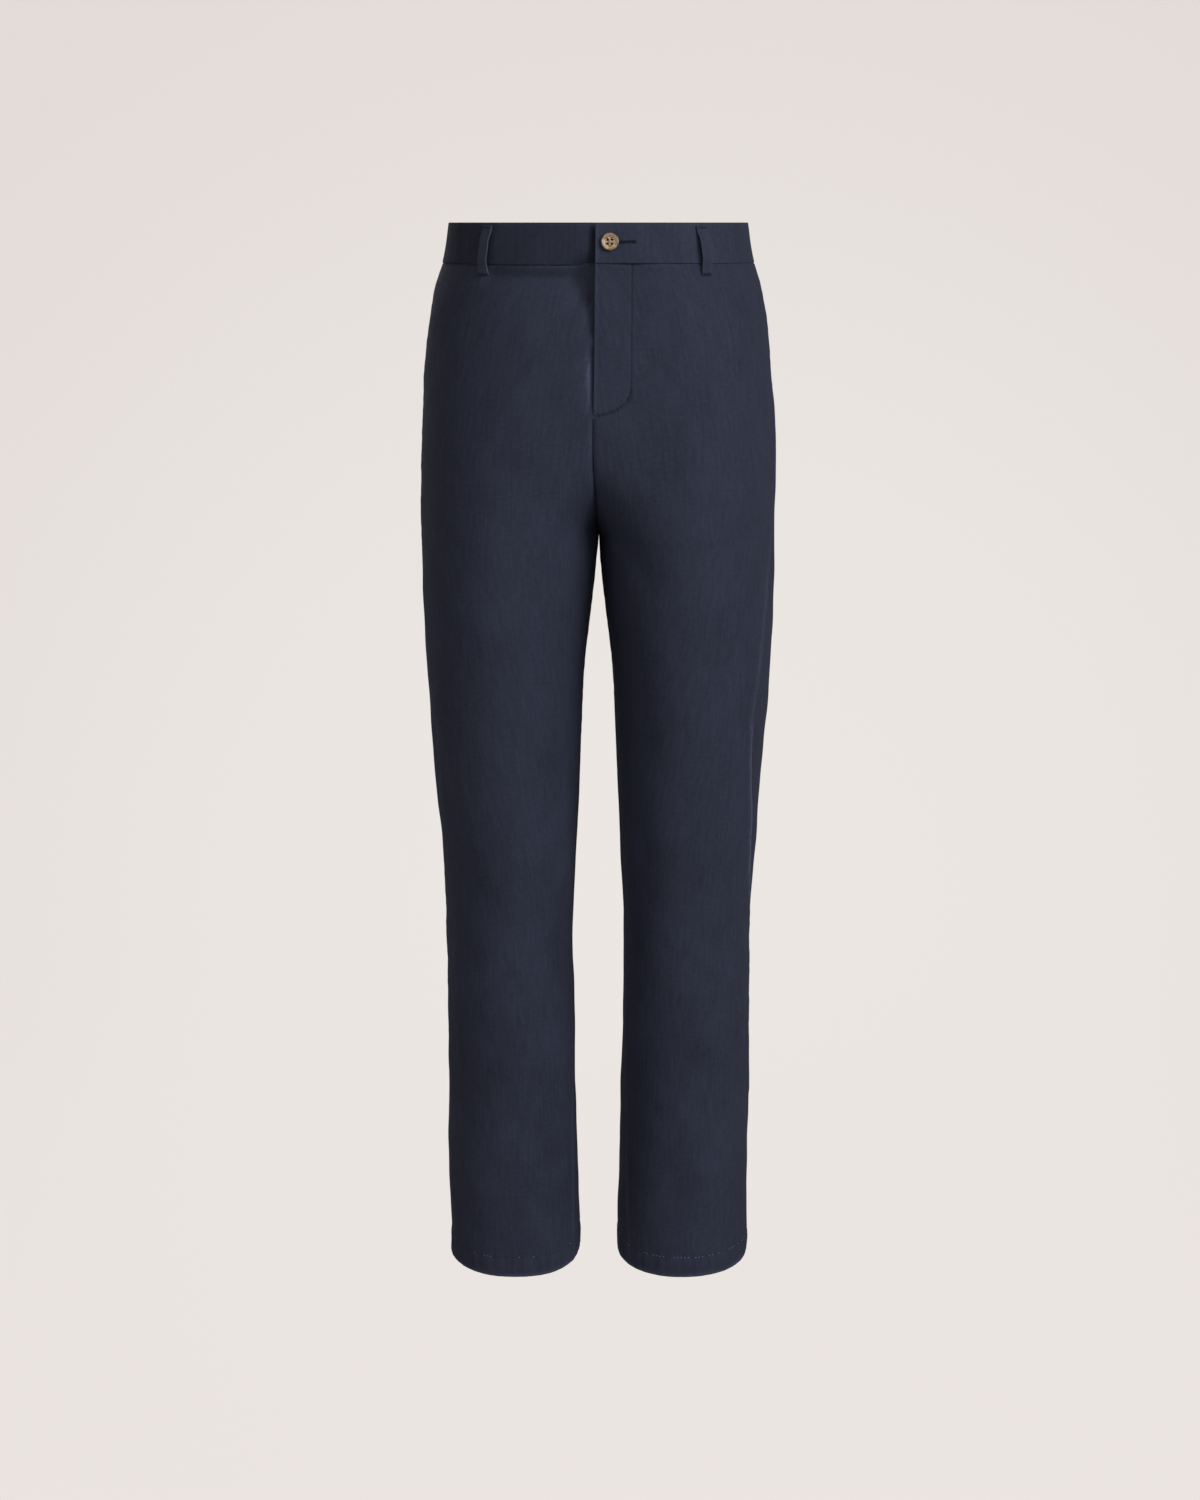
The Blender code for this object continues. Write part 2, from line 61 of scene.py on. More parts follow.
# Level sections of the form: side_x is the half-width at the side, inner_x the inside of the leg,
# leg_x the middle of the leg, front_y and back_y how deep it is there, and side_y the depth at
# which it is widest.
SECTION_COLUMNS = ("drop", "side_x", "inner_x", "leg_x", "front_y", "back_y", "side_y")
SECTIONS = (
    (0.000, 0.1438, 0.0000, 0.030, -0.1080, 0.1120, 0.002),
    (0.038, 0.1505, 0.0000, 0.032, -0.1135, 0.1215, 0.003),
    (0.060, 0.1575, 0.0000, 0.035, -0.1158, 0.1275, 0.004),
    (0.090, 0.1634, 0.0000, 0.040, -0.1180, 0.1350, 0.006),
    (0.130, 0.1682, 0.0000, 0.048, -0.1198, 0.1435, 0.008),
    (0.170, 0.1718, 0.0000, 0.057, -0.1208, 0.1485, 0.010),
    (0.220, 0.1741, 0.0000, 0.070, -0.1206, 0.1495, 0.012),
    (0.260, 0.1745, 0.0000, 0.080, -0.1190, 0.1450, 0.012),
    (0.301, 0.1746, 0.0002, 0.087, -0.1165, 0.1370, 0.012),
    (0.340, 0.1744, 0.0032, 0.089, -0.1137, 0.1275, 0.010),
    (0.380, 0.1734, 0.0078, 0.0905, -0.1105, 0.1195, 0.008),
    (0.430, 0.1711, 0.0137, 0.092, -0.1060, 0.1120, 0.005),
    (0.500, 0.1665, 0.0171, 0.0918, -0.0990, 0.1015, 0.003),
    (0.570, 0.1615, 0.0198, 0.0907, -0.0920, 0.0935, 0.002),
    (0.640, 0.1562, 0.0231, 0.0897, -0.0850, 0.0880, 0.002),
    (0.680, 0.1541, 0.0252, 0.0897, -0.0815, 0.0862, 0.003),
    (0.720, 0.1538, 0.0263, 0.0900, -0.0778, 0.0852, 0.004),
    (0.780, 0.1541, 0.0251, 0.0896, -0.0727, 0.0845, 0.006),
    (0.870, 0.1545, 0.0236, 0.0890, -0.0665, 0.0840, 0.009),
    (0.960, 0.1549, 0.0217, 0.0883, -0.0612, 0.0838, 0.011),
    (1.020, 0.1542, 0.0199, 0.0871, -0.0578, 0.0832, 0.012),
    (1.050, 0.1539, 0.0198, 0.0868, -0.0562, 0.0828, 0.013),
)
OUTER_ROUNDING = 2.15     # exponents of the sections' superellipses; 2 is an ellipse
INNER_ROUNDING = 2.35
ARC_STEPS = 160
LEG_GAP = 0.00015         # half of what parts the legs just below the fork
PASSING_SLOPE = 0.06      # how the insides of the legs would run past the middle above the fork
PASSING_CURVE = {"front": 18.0, "back": 12.0}

# The centre front runs a little to the wearer's right of the middle.
CENTRE_COLUMNS = ("drop", "shift")
CENTRE_LINE = (
    (0.000, 0.0028),
    (0.178, 0.0046),
    (0.215, 0.0049),
    (0.250, 0.0041),
    (0.286, 0.0024),
    (0.301, 0.0000),
)
CENTRE_REACH, CENTRE_DEPTH = 0.050, 0.060   # how far the shift reaches aside, and from the front

# How far forward of the widest point, and of the inside of the leg, the seams of the legs run.
SEAM_COLUMNS = ("drop", "left_side", "right_side", "left_inseam", "right_inseam")
SEAMS = (
    (0.000, 0.004, 0.003, 0.000, 0.000),
    (0.100, 0.012, 0.008, 0.000, 0.000),
    (0.200, 0.030, 0.014, 0.000, 0.000),
    (0.301, 0.057, 0.029, 0.000, 0.000),
    (0.367, 0.068, 0.038, 0.006, 0.005),
    (0.430, 0.0755, 0.044, 0.012, 0.010),
    (0.475, 0.077, 0.046, 0.017, 0.013),
    (0.520, 0.070, 0.046, 0.021, 0.017),
    (0.580, 0.055, 0.036, 0.026, 0.021),
    (0.620, 0.046, 0.027, 0.029, 0.023),
    (0.660, 0.034, 0.018, 0.031, 0.025),
    (0.720, 0.012, 0.006, 0.034, 0.027),
    (0.800, -0.004, -0.003, 0.038, 0.030),
    (0.900, -0.012, -0.010, 0.044, 0.035),
    (1.050, -0.020, -0.016, 0.052, 0.042),
)

# Folds of the worn cloth, troughs (or ridges, where the depth is less than 0) between two places
# on a leg: round is the distance round from the side, less than 0 towards the front.
FOLD_COLUMNS = ("half", "drop_from", "round_from", "drop_to", "round_to", "half_width", "depth")
FOLDS = (
    # beside the fly and under the waist seam
    (RIGHT, 0.045, -0.2080, 0.064, -0.2185, 0.0125, 0.0102),
    (RIGHT, 0.070, -0.2270, 0.098, -0.2375, 0.0068, 0.0036),
    (RIGHT, 0.050, -0.1860, 0.068, -0.1980, 0.0220, 0.0028),
    (RIGHT, 0.053, -0.205, 0.049, -0.120, 0.007, 0.0052),
    (RIGHT, 0.120, -0.2290, 0.168, -0.2380, 0.0220, -0.0030),
    (RIGHT, 0.118, -0.2425, 0.168, -0.2521, 0.0060, 0.0030),
    (RIGHT, 0.175, -0.232, 0.215, -0.222, 0.016, 0.0008),
    (LEFT, 0.051, -0.205, 0.049, -0.120, 0.007, 0.0010),
    # front of the thighs and knees
    (RIGHT, 0.500, -0.045, 0.640, -0.085, 0.020, 0.0026),
    (RIGHT, 0.520, -0.080, 0.600, -0.096, 0.012, -0.0010),
    (RIGHT, 0.300, -0.230, 0.350, -0.190, 0.014, 0.0010),
    (RIGHT, 0.545, -0.205, 0.580, -0.175, 0.011, 0.0012),
    (RIGHT, 0.560, -0.210, 0.640, -0.196, 0.010, -0.0006),
    (RIGHT, 0.450, -0.060, 0.490, -0.105, 0.013, 0.0006),
    (LEFT, 0.640, -0.060, 0.730, -0.085, 0.020, 0.0018),
    (LEFT, 0.300, -0.250, 0.345, -0.205, 0.013, 0.0014),
    (LEFT, 0.420, -0.215, 0.500, -0.185, 0.014, 0.0009),
    (LEFT, 0.560, -0.190, 0.660, -0.172, 0.012, 0.0010),
    (LEFT, 0.395, -0.075, 0.420, -0.120, 0.010, 0.0005),
    (LEFT, 0.520, -0.072, 0.545, -0.112, 0.010, 0.0006),
    # lower legs
    (RIGHT, 0.790, -0.150, 0.930, -0.165, 0.018, 0.0022),
    (RIGHT, 0.700, -0.036, 0.880, -0.044, 0.014, 0.0010),
    (RIGHT, 0.930, -0.040, 1.000, -0.062, 0.014, 0.0010),
    (LEFT, 0.760, -0.052, 0.770, -0.086, 0.008, 0.0008),
    (LEFT, 0.800, -0.024, 0.870, -0.018, 0.008, -0.0012),
    (LEFT, 0.880, -0.135, 0.960, -0.120, 0.014, 0.0012),
    (LEFT, 0.960, -0.040, 1.010, -0.066, 0.012, 0.0010),
    # under the seat and behind the knees
    (LEFT, 0.270, 0.180, 0.330, 0.120, 0.022, 0.0030),
    (RIGHT, 0.275, 0.175, 0.340, 0.115, 0.022, 0.0026),
    (LEFT, 0.315, 0.215, 0.352, 0.160, 0.012, 0.0016),
    (RIGHT, 0.322, 0.222, 0.372, 0.158, 0.013, 0.0018),
    (LEFT, 0.300, 0.060, 0.400, 0.090, 0.018, 0.0012),
    (RIGHT, 0.320, 0.055, 0.430, 0.082, 0.020, 0.0014),
    (LEFT, 0.640, 0.110, 0.560, 0.070, 0.020, 0.0030),
    (RIGHT, 0.560, 0.080, 0.660, 0.125, 0.020, 0.0030),
    (LEFT, 0.690, 0.150, 0.615, 0.105, 0.011, 0.0015),
    (RIGHT, 0.625, 0.060, 0.700, 0.110, 0.012, 0.0017),
    (LEFT, 0.600, 0.145, 0.560, 0.120, 0.010, -0.0010),
    (RIGHT, 0.700, 0.150, 0.745, 0.100, 0.014, 0.0013),
    (LEFT, 0.800, 0.060, 0.930, 0.080, 0.018, 0.0014),
    (RIGHT, 0.860, 0.085, 0.980, 0.065, 0.018, 0.0012),
    # below the back of the waistband
    (LEFT, 0.056, 0.090, 0.060, 0.175, 0.012, 0.0012),
    (RIGHT, 0.054, 0.110, 0.058, 0.190, 0.011, 0.0010),
)

# The soft unevenness of the whole cloth, as waves: height, length down, length round and phase.
DRAPE = (
    (0.00045, 0.210, 0.330, 0.4),
    (0.00035, 0.134, -0.121, 2.1),
    (0.00022, 0.071, 0.098, 4.0),
    (0.00012, 0.043, -0.067, 5.3),
)

# Swell of the seams, where the turned-in edges lie behind the cloth.
SWELL_COLUMNS = ("drop", "left_side", "right_side", "inseam")
SWELLS = (
    (0.04, 0.0003, 0.0003, 0.0002),
    (0.30, 0.0005, 0.0004, 0.0003),
    (0.38, 0.0012, 0.0004, 0.0004),
    (0.46, 0.0016, 0.0004, 0.0004),
    (0.52, 0.0022, 0.0004, 0.0004),
    (0.63, 0.0020, 0.0004, 0.0004),
    (0.70, 0.0008, 0.0004, 0.0005),
    (0.85, 0.0005, 0.0004, 0.0006),
    (1.05, 0.0004, 0.0004, 0.0004),
)
SWELL_WIDTH = 0.0026
# The left side seam's ridge is broad down to a drop, widening from the waist.
RIDGE_TURN, RIDGE_BROAD, RIDGE_NARROWING, RIDGE_WIDENING = 0.470, 0.0062, 0.030, 0.30
PUCKER = 0.00016          # height of the small waves beside a seam
PUCKER_REACH = 0.010
PUCKER_WAVES = ((0.011, 0.3), (0.017, 1.9), (0.029, 4.4))
WAIST_PUCKER, WAIST_REACH = 0.00020, 0.012
WAIST_WAVES = ((0.0125, 0.9), (0.019, 3.0), (0.041, 1.2))
INSEAM_FADE, INSEAM_CALM = 0.03, 0.030      # how soon it begins, and the calm cloth beside it
HEM_STITCH_UP = 0.0205    # height of the hem's stitching above its edge
HEM_SWELL, HEM_SWELL_OVER = 0.0005, 0.004   # of the turned-up cloth
HEM_GROOVE, HEM_GROOVE_WIDTH = 0.0004, 0.0020
HEM_PUCKER, HEM_PUCKER_DOWN, HEM_PUCKER_WIDTH = 0.00050, 0.007, 0.012
HEM_WAVES = ((0.0088, 0.5), (0.014, 2.2), (0.031, 4.0))

# Fly and waist seam, which the panels meet.
FLY_FOOT, FLY_LIFT, FLY_WIDTH, FLY_FADE, FLY_TUCK = 0.178, 0.0018, 0.045, 0.030, 0.007
FLY_STITCH_X = 0.0330     # from the folded edge to the straight run of the curved stitching
FLY_STITCH_TURN = 0.026   # height over which the stitching curves to the edge
FLY_FACING = 0.0004       # extra height of the cloth over the facing sewn behind it
FACING_STEP = 0.004       # width of that step
STITCH_GROOVE, GROOVE_WIDTH = 0.0009, 0.0009          # how far the stitching draws the cloth in
CURVE_ABOVE, CURVE_OVER = 0.032, 0.020      # where it begins to draw in more, above its foot
CURVE_DEEPER, CURVE_WIDER = 1.2, 0.0008     # and how much more
ROPING, ROPING_WIDTH = 0.0002, 0.006        # ripple along the stitching
FLY_PUCKER = 0.00042      # height of the puckers along the stitching's curve
FLY_PUCKER_IN, FLY_PUCKER_WIDTH, FLY_PUCKER_LEAN = 0.002, 0.0035, 0.6
FLY_PUCKER_ABOVE, FLY_PUCKER_OVER = 0.040, 0.030
FLY_PUCKER_WAVES = ((0.0048, 0.3), (0.0071, 2.0))
BAND_FOOT = {LEFT: 0.0372, RIGHT: 0.0392}
BAND_SAG = {LEFT: 0.0, RIGHT: 0.0010}
BAND_EASE, BAND_LEVEL_FOOT = 0.180, 0.0380

# Back darts, which take the waist in over the seat: a soft swell with the seam drawn in along it.
DART_FOOT, DART_TOP_X, DART_LEAN = 0.125, 0.070, 0.10
DART_SWELL, DART_SWELL_WIDTH = 0.00072, 0.008
DART_GROOVE, DART_GROOVE_WIDTH, DART_FADE = 0.00135, 0.0011, 0.03

ROW = 0.0036              # rows and columns of the panels' cloth
COLUMNS = 83
# Columns over the fly's facing, closest at its stitching, as distances from the folded edge.
FLY_COLUMNS = np.concatenate((np.linspace(0.0042, 0.0300, 20), np.linspace(0.0307, 0.0352, 11),
                              np.linspace(0.0364, 0.0460, 8)))
FLY_REST = 58             # and how many lie beyond them
FINE_ROWS = 3.4           # how much closer the rows lie at the curve of the fly's stitching
FINE_ABOVE, FINE_OVER = 0.012, 0.020        # the middle of those rows, above the fly's foot
LEVEL_RISE = 0.7          # how much closer they lie where the rise runs level
EDGE_ROUND = 0.0008       # radius of a turned-in edge
EDGE_STEPS = 4
EDGE_DEEP = 0.0012        # how far it goes on inwards
EDGE_MEET = 0.0004        # and across the seam, to the edge sewn to it
EDGE_BESIDE = (0.0016, 0.0030)              # two more columns beside it
FOLD_STEPS, RISE_STEPS = 6, 7               # rows round the hem's fold and up behind it
CENTRE_SINK, CENTRE_SINK_WIDTH = 0.0016, 0.0022     # of the centre front seam below the fly
NORMAL_STEP = 0.002


def read_table(columns, rows):
    """A table of numbers, as one array for each named column."""
    return dict(zip(columns, np.array(rows, dtype=float).T))


FORM = read_table(SECTION_COLUMNS, SECTIONS)
CENTRE = read_table(CENTRE_COLUMNS, CENTRE_LINE)
LEG_SEAMS = read_table(SEAM_COLUMNS, SEAMS)
SEAM_SWELL = read_table(SWELL_COLUMNS, SWELLS)


def at(table, column, drop):
    """A column of a table at a drop, on a smooth curve through its rows."""
    drops, values = table["drop"], table[column]
    drop = min(max(drop, drops[0]), drops[-1])
    row = min(int(np.searchsorted(drops, drop, side="right")) - 1, len(drops) - 2)
    slopes = np.gradient(values, drops)
    span = drops[row + 1] - drops[row]
    t = (drop - drops[row]) / span
    return ((1 + 2 * t) * (1 - t) ** 2 * values[row] + t * (1 - t) ** 2 * span * slopes[row]
            + t * t * (3 - 2 * t) * values[row + 1] - t * t * (1 - t) * span * slopes[row + 1])


def ease(t):
    """From 0 to 1 as t goes from 0 to 1, level at both ends."""
    t = np.clip(t, 0.0, 1.0)
    return t * t * (3 - 2 * t)


def bump(distance, half_width):
    """1 at no distance, fading softly over a half-width."""
    return np.exp(-(distance / half_width) ** 2)


def inner_arc(drop, face, inner_x, leg_x, deep_y):
    """Points from the middle, or the inside of the leg, out to the leg's deepest point."""
    power = 2 / INNER_ROUNDING
    above = max(FORK_DROP - drop, 0.0)
    width = leg_x - inner_x + PASSING_SLOPE * above + PASSING_CURVE[face] * above ** 2
    end = math.asin(((leg_x - inner_x) / width) ** (1 / power))
    turn = np.linspace(end, 0, ARC_STEPS)
    return np.column_stack((leg_x - width * np.sin(turn) ** power,
                            FORK_Y + (deep_y - FORK_Y) * np.abs(np.cos(turn)) ** power))


def outer_arc(leg_x, side_x, side_y, deep_y):
    """Points from the leg's deepest point out to the side."""
    power = 2 / OUTER_ROUNDING
    turn = np.linspace(0, math.pi / 2, ARC_STEPS)
    return np.column_stack((leg_x + (side_x - leg_x) * np.sin(turn) ** power,
                            side_y + (deep_y - side_y) * np.abs(np.cos(turn)) ** power))


@lru_cache(maxsize=None)
def section(drop):
    """The left half's section: its points from the centre front round to the centre back, and
    their distances from the side. Below the fork it closes on itself inside the leg."""
    side_x, inner_x, leg_x, front_y, back_y, side_y = (
        at(FORM, column, drop) for column in SECTION_COLUMNS[1:])
    inner_x = max(inner_x, LEG_GAP) if drop > FORK_DROP else LEG_GAP
    front_in = inner_arc(drop, "front", inner_x, leg_x, front_y)
    front_out = outer_arc(leg_x, side_x, side_y, front_y)
    back_out = outer_arc(leg_x, side_x, side_y, back_y)[::-1]
    back_in = inner_arc(drop, "back", inner_x, leg_x, back_y)[::-1]
    points = np.vstack((front_in, front_out[1:], back_out[1:], back_in[1:]))
    steps = np.hypot(*np.diff(points, axis=0).T)
    distance = np.concatenate(([0.0], np.cumsum(steps)))
    return points, distance - distance[2 * ARC_STEPS - 2]


def front_end(drop):
    """Distance round from the side to the centre front, or to the inside of the leg."""
    return section(drop)[1][0]


def back_end(drop):
    """Distance round from the side to the centre back, or to the inside of the leg."""
    return section(drop)[1][-1]


def plan(drop, along):
    """Plan positions on the left half at distances round. Past the centre they run on over the
    other half, and below the fork they go on round the leg."""
    points, distance = section(drop)
    first, last = distance[0], distance[-1]
    mirror = np.ones_like(along)
    if drop > FORK_DROP:
        along = first + (along - first) % (last - first)
    else:
        mirror = np.where((along < first) | (along > last), -1.0, 1.0)
        along = np.where(along < first, 2 * first - along, along)
        along = np.where(along > last, 2 * last - along, along)
    return np.column_stack((mirror * np.interp(along, distance, points[:, 0]),
                            np.interp(along, distance, points[:, 1])))


def outward(drop, along):
    """Level directions out of the form, on the left half."""
    low, high = along - NORMAL_STEP, along + NORMAL_STEP
    if drop <= FORK_DROP:
        first, last = front_end(drop), back_end(drop)
        inside = (along >= first) & (along <= last)
        low = np.where(inside, np.maximum(low, first), low)
        high = np.where(inside, np.minimum(high, last), high)
    across = plan(drop, high) - plan(drop, low)
    return np.column_stack((across[:, 1], -across[:, 0])) / np.hypot(*across.T)[:, None]


def seam_turn(half, column, drop):
    """How far forward a seam of the leg runs."""
    return at(LEG_SEAMS, f"{SIDE[half]}_{column}", drop)


def folds(half, drop, along):
    """How far the folds take the cloth in."""
    depth = np.zeros_like(along)
    around = back_end(drop) - front_end(drop) if drop > FORK_DROP else 1.0
    for values in FOLDS:
        fold = dict(zip(FOLD_COLUMNS, values))
        if fold["half"] != half:
            continue
        run = np.array((fold["drop_to"] - fold["drop_from"], fold["round_to"] - fold["round_from"]))
        down = drop - fold["drop_from"]
        across = (along - fold["round_from"] + around / 2) % around - around / 2
        share = np.clip((down * run[0] + across * run[1]) / (run @ run), 0, 1)
        away = np.hypot(down - share * run[0], across - share * run[1])
        depth += fold["depth"] * bump(away, fold["half_width"])
    return depth


def on_form(half, drop, along, out):
    """Points on the folded form at a drop and at distances round, moved level out of it."""
    along = np.asarray(along, dtype=float)
    out = np.reshape(out - folds(half, drop, along), (-1, 1))
    x, y = (plan(drop, along) + outward(drop, along) * out).T
    shift = at(CENTRE, "shift", drop) * bump(x, CENTRE_REACH) * ease((FORK_Y - y) / CENTRE_DEPTH)
    tip = HEM_TIP * ease((drop - KNEE_DROP) / (HEM_DROP - KNEE_DROP))
    middle_y = (at(FORM, "front_y", drop) + at(FORM, "back_y", drop)) / 2
    return np.column_stack((half * x - shift, y, tip * (y - middle_y) - drop))


def waves(distance, table=PUCKER_WAVES):
    """An uneven ripple, between about -1 and 1."""
    return sum(np.sin(2 * math.pi * distance / length + phase) for length, phase in table) / 2


def drape(half, drop, along):
    """The soft unevenness of the cloth."""
    out = np.zeros_like(along)
    for height, drop_wave, round_wave, phase in DRAPE:
        turn = 2 * math.pi * (drop / drop_wave + along / round_wave) + phase + 1.3 * half
        out += height * np.sin(turn)
    return out


def fly_stitch_distance(drop, from_edge):
    """Distance from the fly's curved stitching, less than 0 on the fly's side of it."""
    turn_drop = FLY_FOOT - FLY_STITCH_TURN
    if drop <= turn_drop:
        return from_edge - FLY_STITCH_X
    reach = np.hypot(from_edge / FLY_STITCH_X, (drop - turn_drop) / FLY_STITCH_TURN)
    return (reach - 1) * np.hypot(FLY_STITCH_X, FLY_STITCH_TURN) / math.sqrt(2)


def ridge_width(half, drop):
    """Half-width of a side seam's swell."""
    broad = ease((RIDGE_TURN - drop) / RIDGE_NARROWING + 1) * ease(drop / RIDGE_WIDENING)
    return SWELL_WIDTH + (RIDGE_BROAD - SWELL_WIDTH) * broad * (half == LEFT)


def pucker(drop, phase, distance):
    """Small waves down a seam, fading away from it."""
    return PUCKER * waves(drop + phase) * np.exp(-np.abs(distance) / PUCKER_REACH)


def dart_relief(drop, from_back):
    """A back's dart."""
    line = DART_TOP_X - DART_LEAN * (drop - BAND_LEVEL_FOOT) - from_back
    swell = DART_SWELL * bump(line, DART_SWELL_WIDTH) - DART_GROOVE * bump(line, DART_GROOVE_WIDTH)
    return swell * ease((DART_FOOT - drop) / DART_FADE)


def fly_relief(drop, from_edge):
    """The left front's lap over the fly, with its facing and the stitching that holds it."""
    line = fly_stitch_distance(drop, from_edge)
    sewn = drop < FLY_FOOT + FACING_STEP
    fading = 1 - ease((drop - FLY_FOOT) / FLY_FADE)
    out = FLY_LIFT * fading * (1 - ease(from_edge / FLY_WIDTH))
    out += FLY_FACING * (1 - ease(line / FACING_STEP + 0.5)) * sewn
    curved = ease((drop - FLY_FOOT + CURVE_ABOVE) / CURVE_OVER)
    groove = STITCH_GROOVE * (1 + CURVE_DEEPER * curved)
    out -= groove * bump(line, GROOVE_WIDTH + CURVE_WIDER * curved) * sewn
    out += ROPING * waves(drop + from_edge) * bump(line, ROPING_WIDTH)
    gathered = bump(line + FLY_PUCKER_IN, FLY_PUCKER_WIDTH) * ease(
        (drop - FLY_FOOT + FLY_PUCKER_ABOVE) / FLY_PUCKER_OVER)
    return out + FLY_PUCKER * waves(from_edge - FLY_PUCKER_LEAN * drop, FLY_PUCKER_WAVES) * gathered


def hem_relief(half, drop, along):
    """The hem's turned-up cloth, its stitching and its puckers."""
    line = drop - (HEM_DROP - HEM_STITCH_UP)
    out = HEM_SWELL * ease(line / HEM_SWELL_OVER) - HEM_GROOVE * bump(line, HEM_GROOVE_WIDTH)
    rippled = bump(line - HEM_PUCKER_DOWN, HEM_PUCKER_WIDTH)
    return out + HEM_PUCKER * waves(along + 0.02 * half, HEM_WAVES) * rippled


def relief(half, drop, along):
    """How far the cloth stands out of the folded form: drape, seams, fly and darts."""
    side = along + seam_turn(half, "side", drop)
    swell = at(SEAM_SWELL, f"{SIDE[half]}_side", drop)
    out = drape(half, drop, along) + swell * bump(side, ridge_width(half, drop))
    out += pucker(drop, 0.1 * half, side)
    first, last = front_end(drop), back_end(drop)
    if drop > FORK_DROP:
        around = last - first
        inseam = (along - first - seam_turn(half, "inseam", drop) + around / 2) % around - around / 2
        fade = ease((drop - FORK_DROP) / INSEAM_FADE)
        out *= 1 - fade * bump(inseam, INSEAM_CALM)
        out += fade * at(SEAM_SWELL, "inseam", drop) * bump(inseam, SWELL_WIDTH)
        out += fade * pucker(drop, 0.3 * half, inseam)
    else:
        if drop > FLY_FOOT:
            out -= CENTRE_SINK * bump(along - first, CENTRE_SINK_WIDTH)
        out += pucker(drop, 0.6, last - along) + dart_relief(drop, last - along)
    if half == LEFT and drop < FLY_FOOT + FLY_FADE:
        out += fly_relief(drop, along - first)
    puckered = np.exp(-(drop - BAND_LEVEL_FOOT) / WAIST_REACH)
    return out + WAIST_PUCKER * waves(along, WAIST_WAVES) * puckered + hem_relief(half, drop, along)


def on_cloth(half, drop, along, lift):
    """Points at a drop on the outside of the cloth, or lifted from it."""
    return on_form(half, drop, along, relief(half, drop, along) + lift)


def turned_edge():
    """A turned-in edge: distances from the edge of the panel, and how far in the cloth lies."""
    turn = np.linspace(0, math.pi / 2, EDGE_STEPS + 1)
    from_edge = np.concatenate(([-EDGE_MEET], EDGE_ROUND * (1 - np.cos(turn))))
    deep = np.concatenate(([EDGE_DEEP + EDGE_ROUND], EDGE_ROUND * (1 - np.sin(turn))))
    return np.append(from_edge, EDGE_BESIDE), np.append(deep, (0.0, 0.0))


EDGE_FROM, EDGE_IN = turned_edge()


def between_levels(drops, line):
    """A row of points at uneven drops, between the lines at the least and the greatest drop."""
    least, most = drops.min(), drops.max() + 1e-6
    share = ((drops - least) / (most - least))[:, None]
    return line(least) * (1 - share) + line(most) * share


def to_mesh(shape, name):
    """Turns a finished bmesh into a mesh."""
    mesh = bpy.data.meshes.new(name)
    shape.to_mesh(mesh)
    shape.free()
    return mesh


def add_object(name, data):
    """A new object in the scene."""
    made = bpy.data.objects.new(name, data)
    bpy.context.collection.objects.link(made)
    return made


def bend_grid(name, columns, rows, place, flip):
    """A sheet as a flat grid of columns by rows, each row bent to place(row), which gives its
    points, their distances across the cloth and how worn they are, with painted highlights added.
    Its UV map is in metres."""
    grid = bmesh.new()
    bmesh.ops.create_grid(grid, x_segments=columns, y_segments=rows, size=0.5)
    mesh = to_mesh(grid, name)
    flat = np.empty(len(mesh.vertices) * 3)
    mesh.vertices.foreach_get("co", flat)
    flat = flat.reshape(-1, 3)
    column = np.rint((flat[:, 0] + 0.5) * columns).astype(int)
    row = np.rint((0.5 - flat[:, 1]) * rows).astype(int)
    bent = [place(index) for index in range(rows + 1)]
    points = np.array([line[0] for line in bent])
    across = np.array([line[1] for line in bent])
    wear_and_highlight = np.array([line[2] for line in bent])
    steps = np.linalg.norm(np.diff(points[:, columns // 2], axis=0), axis=1)
    down = np.concatenate(([0.0], np.cumsum(steps)))
    mesh.vertices.foreach_set("co", points[row, column].ravel())
    layer = mesh.uv_layers.new(name="cloth")
    corners = np.empty(len(mesh.loops), dtype=np.int32)
    mesh.loops.foreach_get("vertex_index", corners)
    places = np.column_stack((across[row, column], -down[row]))[corners]
    layer.data.foreach_set("uv", places.ravel())
    worn = mesh.attributes.new("wear_and_highlight", "FLOAT", "POINT")
    worn.data.foreach_set("value", wear_and_highlight[row, column])
    if flip:
        mesh.flip_normals()
    mesh.shade_smooth()
    return mesh


def add_piece(name, mesh, material):
    """An object for a finished mesh, which rides with the trousers."""
    piece = add_object(name, mesh)
    mesh.materials.append(material)
    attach(piece, "root")
    return piece


def thicken(piece, thickness):
    """Gives a sheet its thickness, inwards."""
    solid = piece.modifiers.new("thickness", "SOLIDIFY")
    solid.thickness = thickness
    solid.offset = -1
    return piece


def new_socket(group, name, kind="NodeSocketFloat", default=None, out=False):
    """A named input or output of a node group."""
    socket = group.interface.new_socket(name, in_out="OUTPUT" if out else "INPUT", socket_type=kind)
    if default is not None:
        socket.default_value = default


def set_inputs(made, **values):
    """Sets or links a node's inputs by name, with underscores for the spaces, or by number."""
    for key, value in values.items():
        place = int(key[3:]) if key.startswith("in_") else key.replace("_", " ")
        if isinstance(value, bpy.types.NodeSocket):
            made.id_data.links.new(value, made.inputs[place])
        else:
            made.inputs[place].default_value = value


def node(tree, kind, **settings):
    """A shader node, with its own settings and its inputs."""
    made = tree.nodes.new(kind)
    own = [key for key in settings if hasattr(made, key)]
    for key in own:
        setattr(made, key, settings.pop(key))
    set_inputs(made, **settings)
    return made


def new_material(name):
    """A material, its node tree and its shader."""
    material = bpy.data.materials.new(name)
    material.use_nodes = True
    return material, material.node_tree, material.node_tree.nodes["Principled BSDF"]


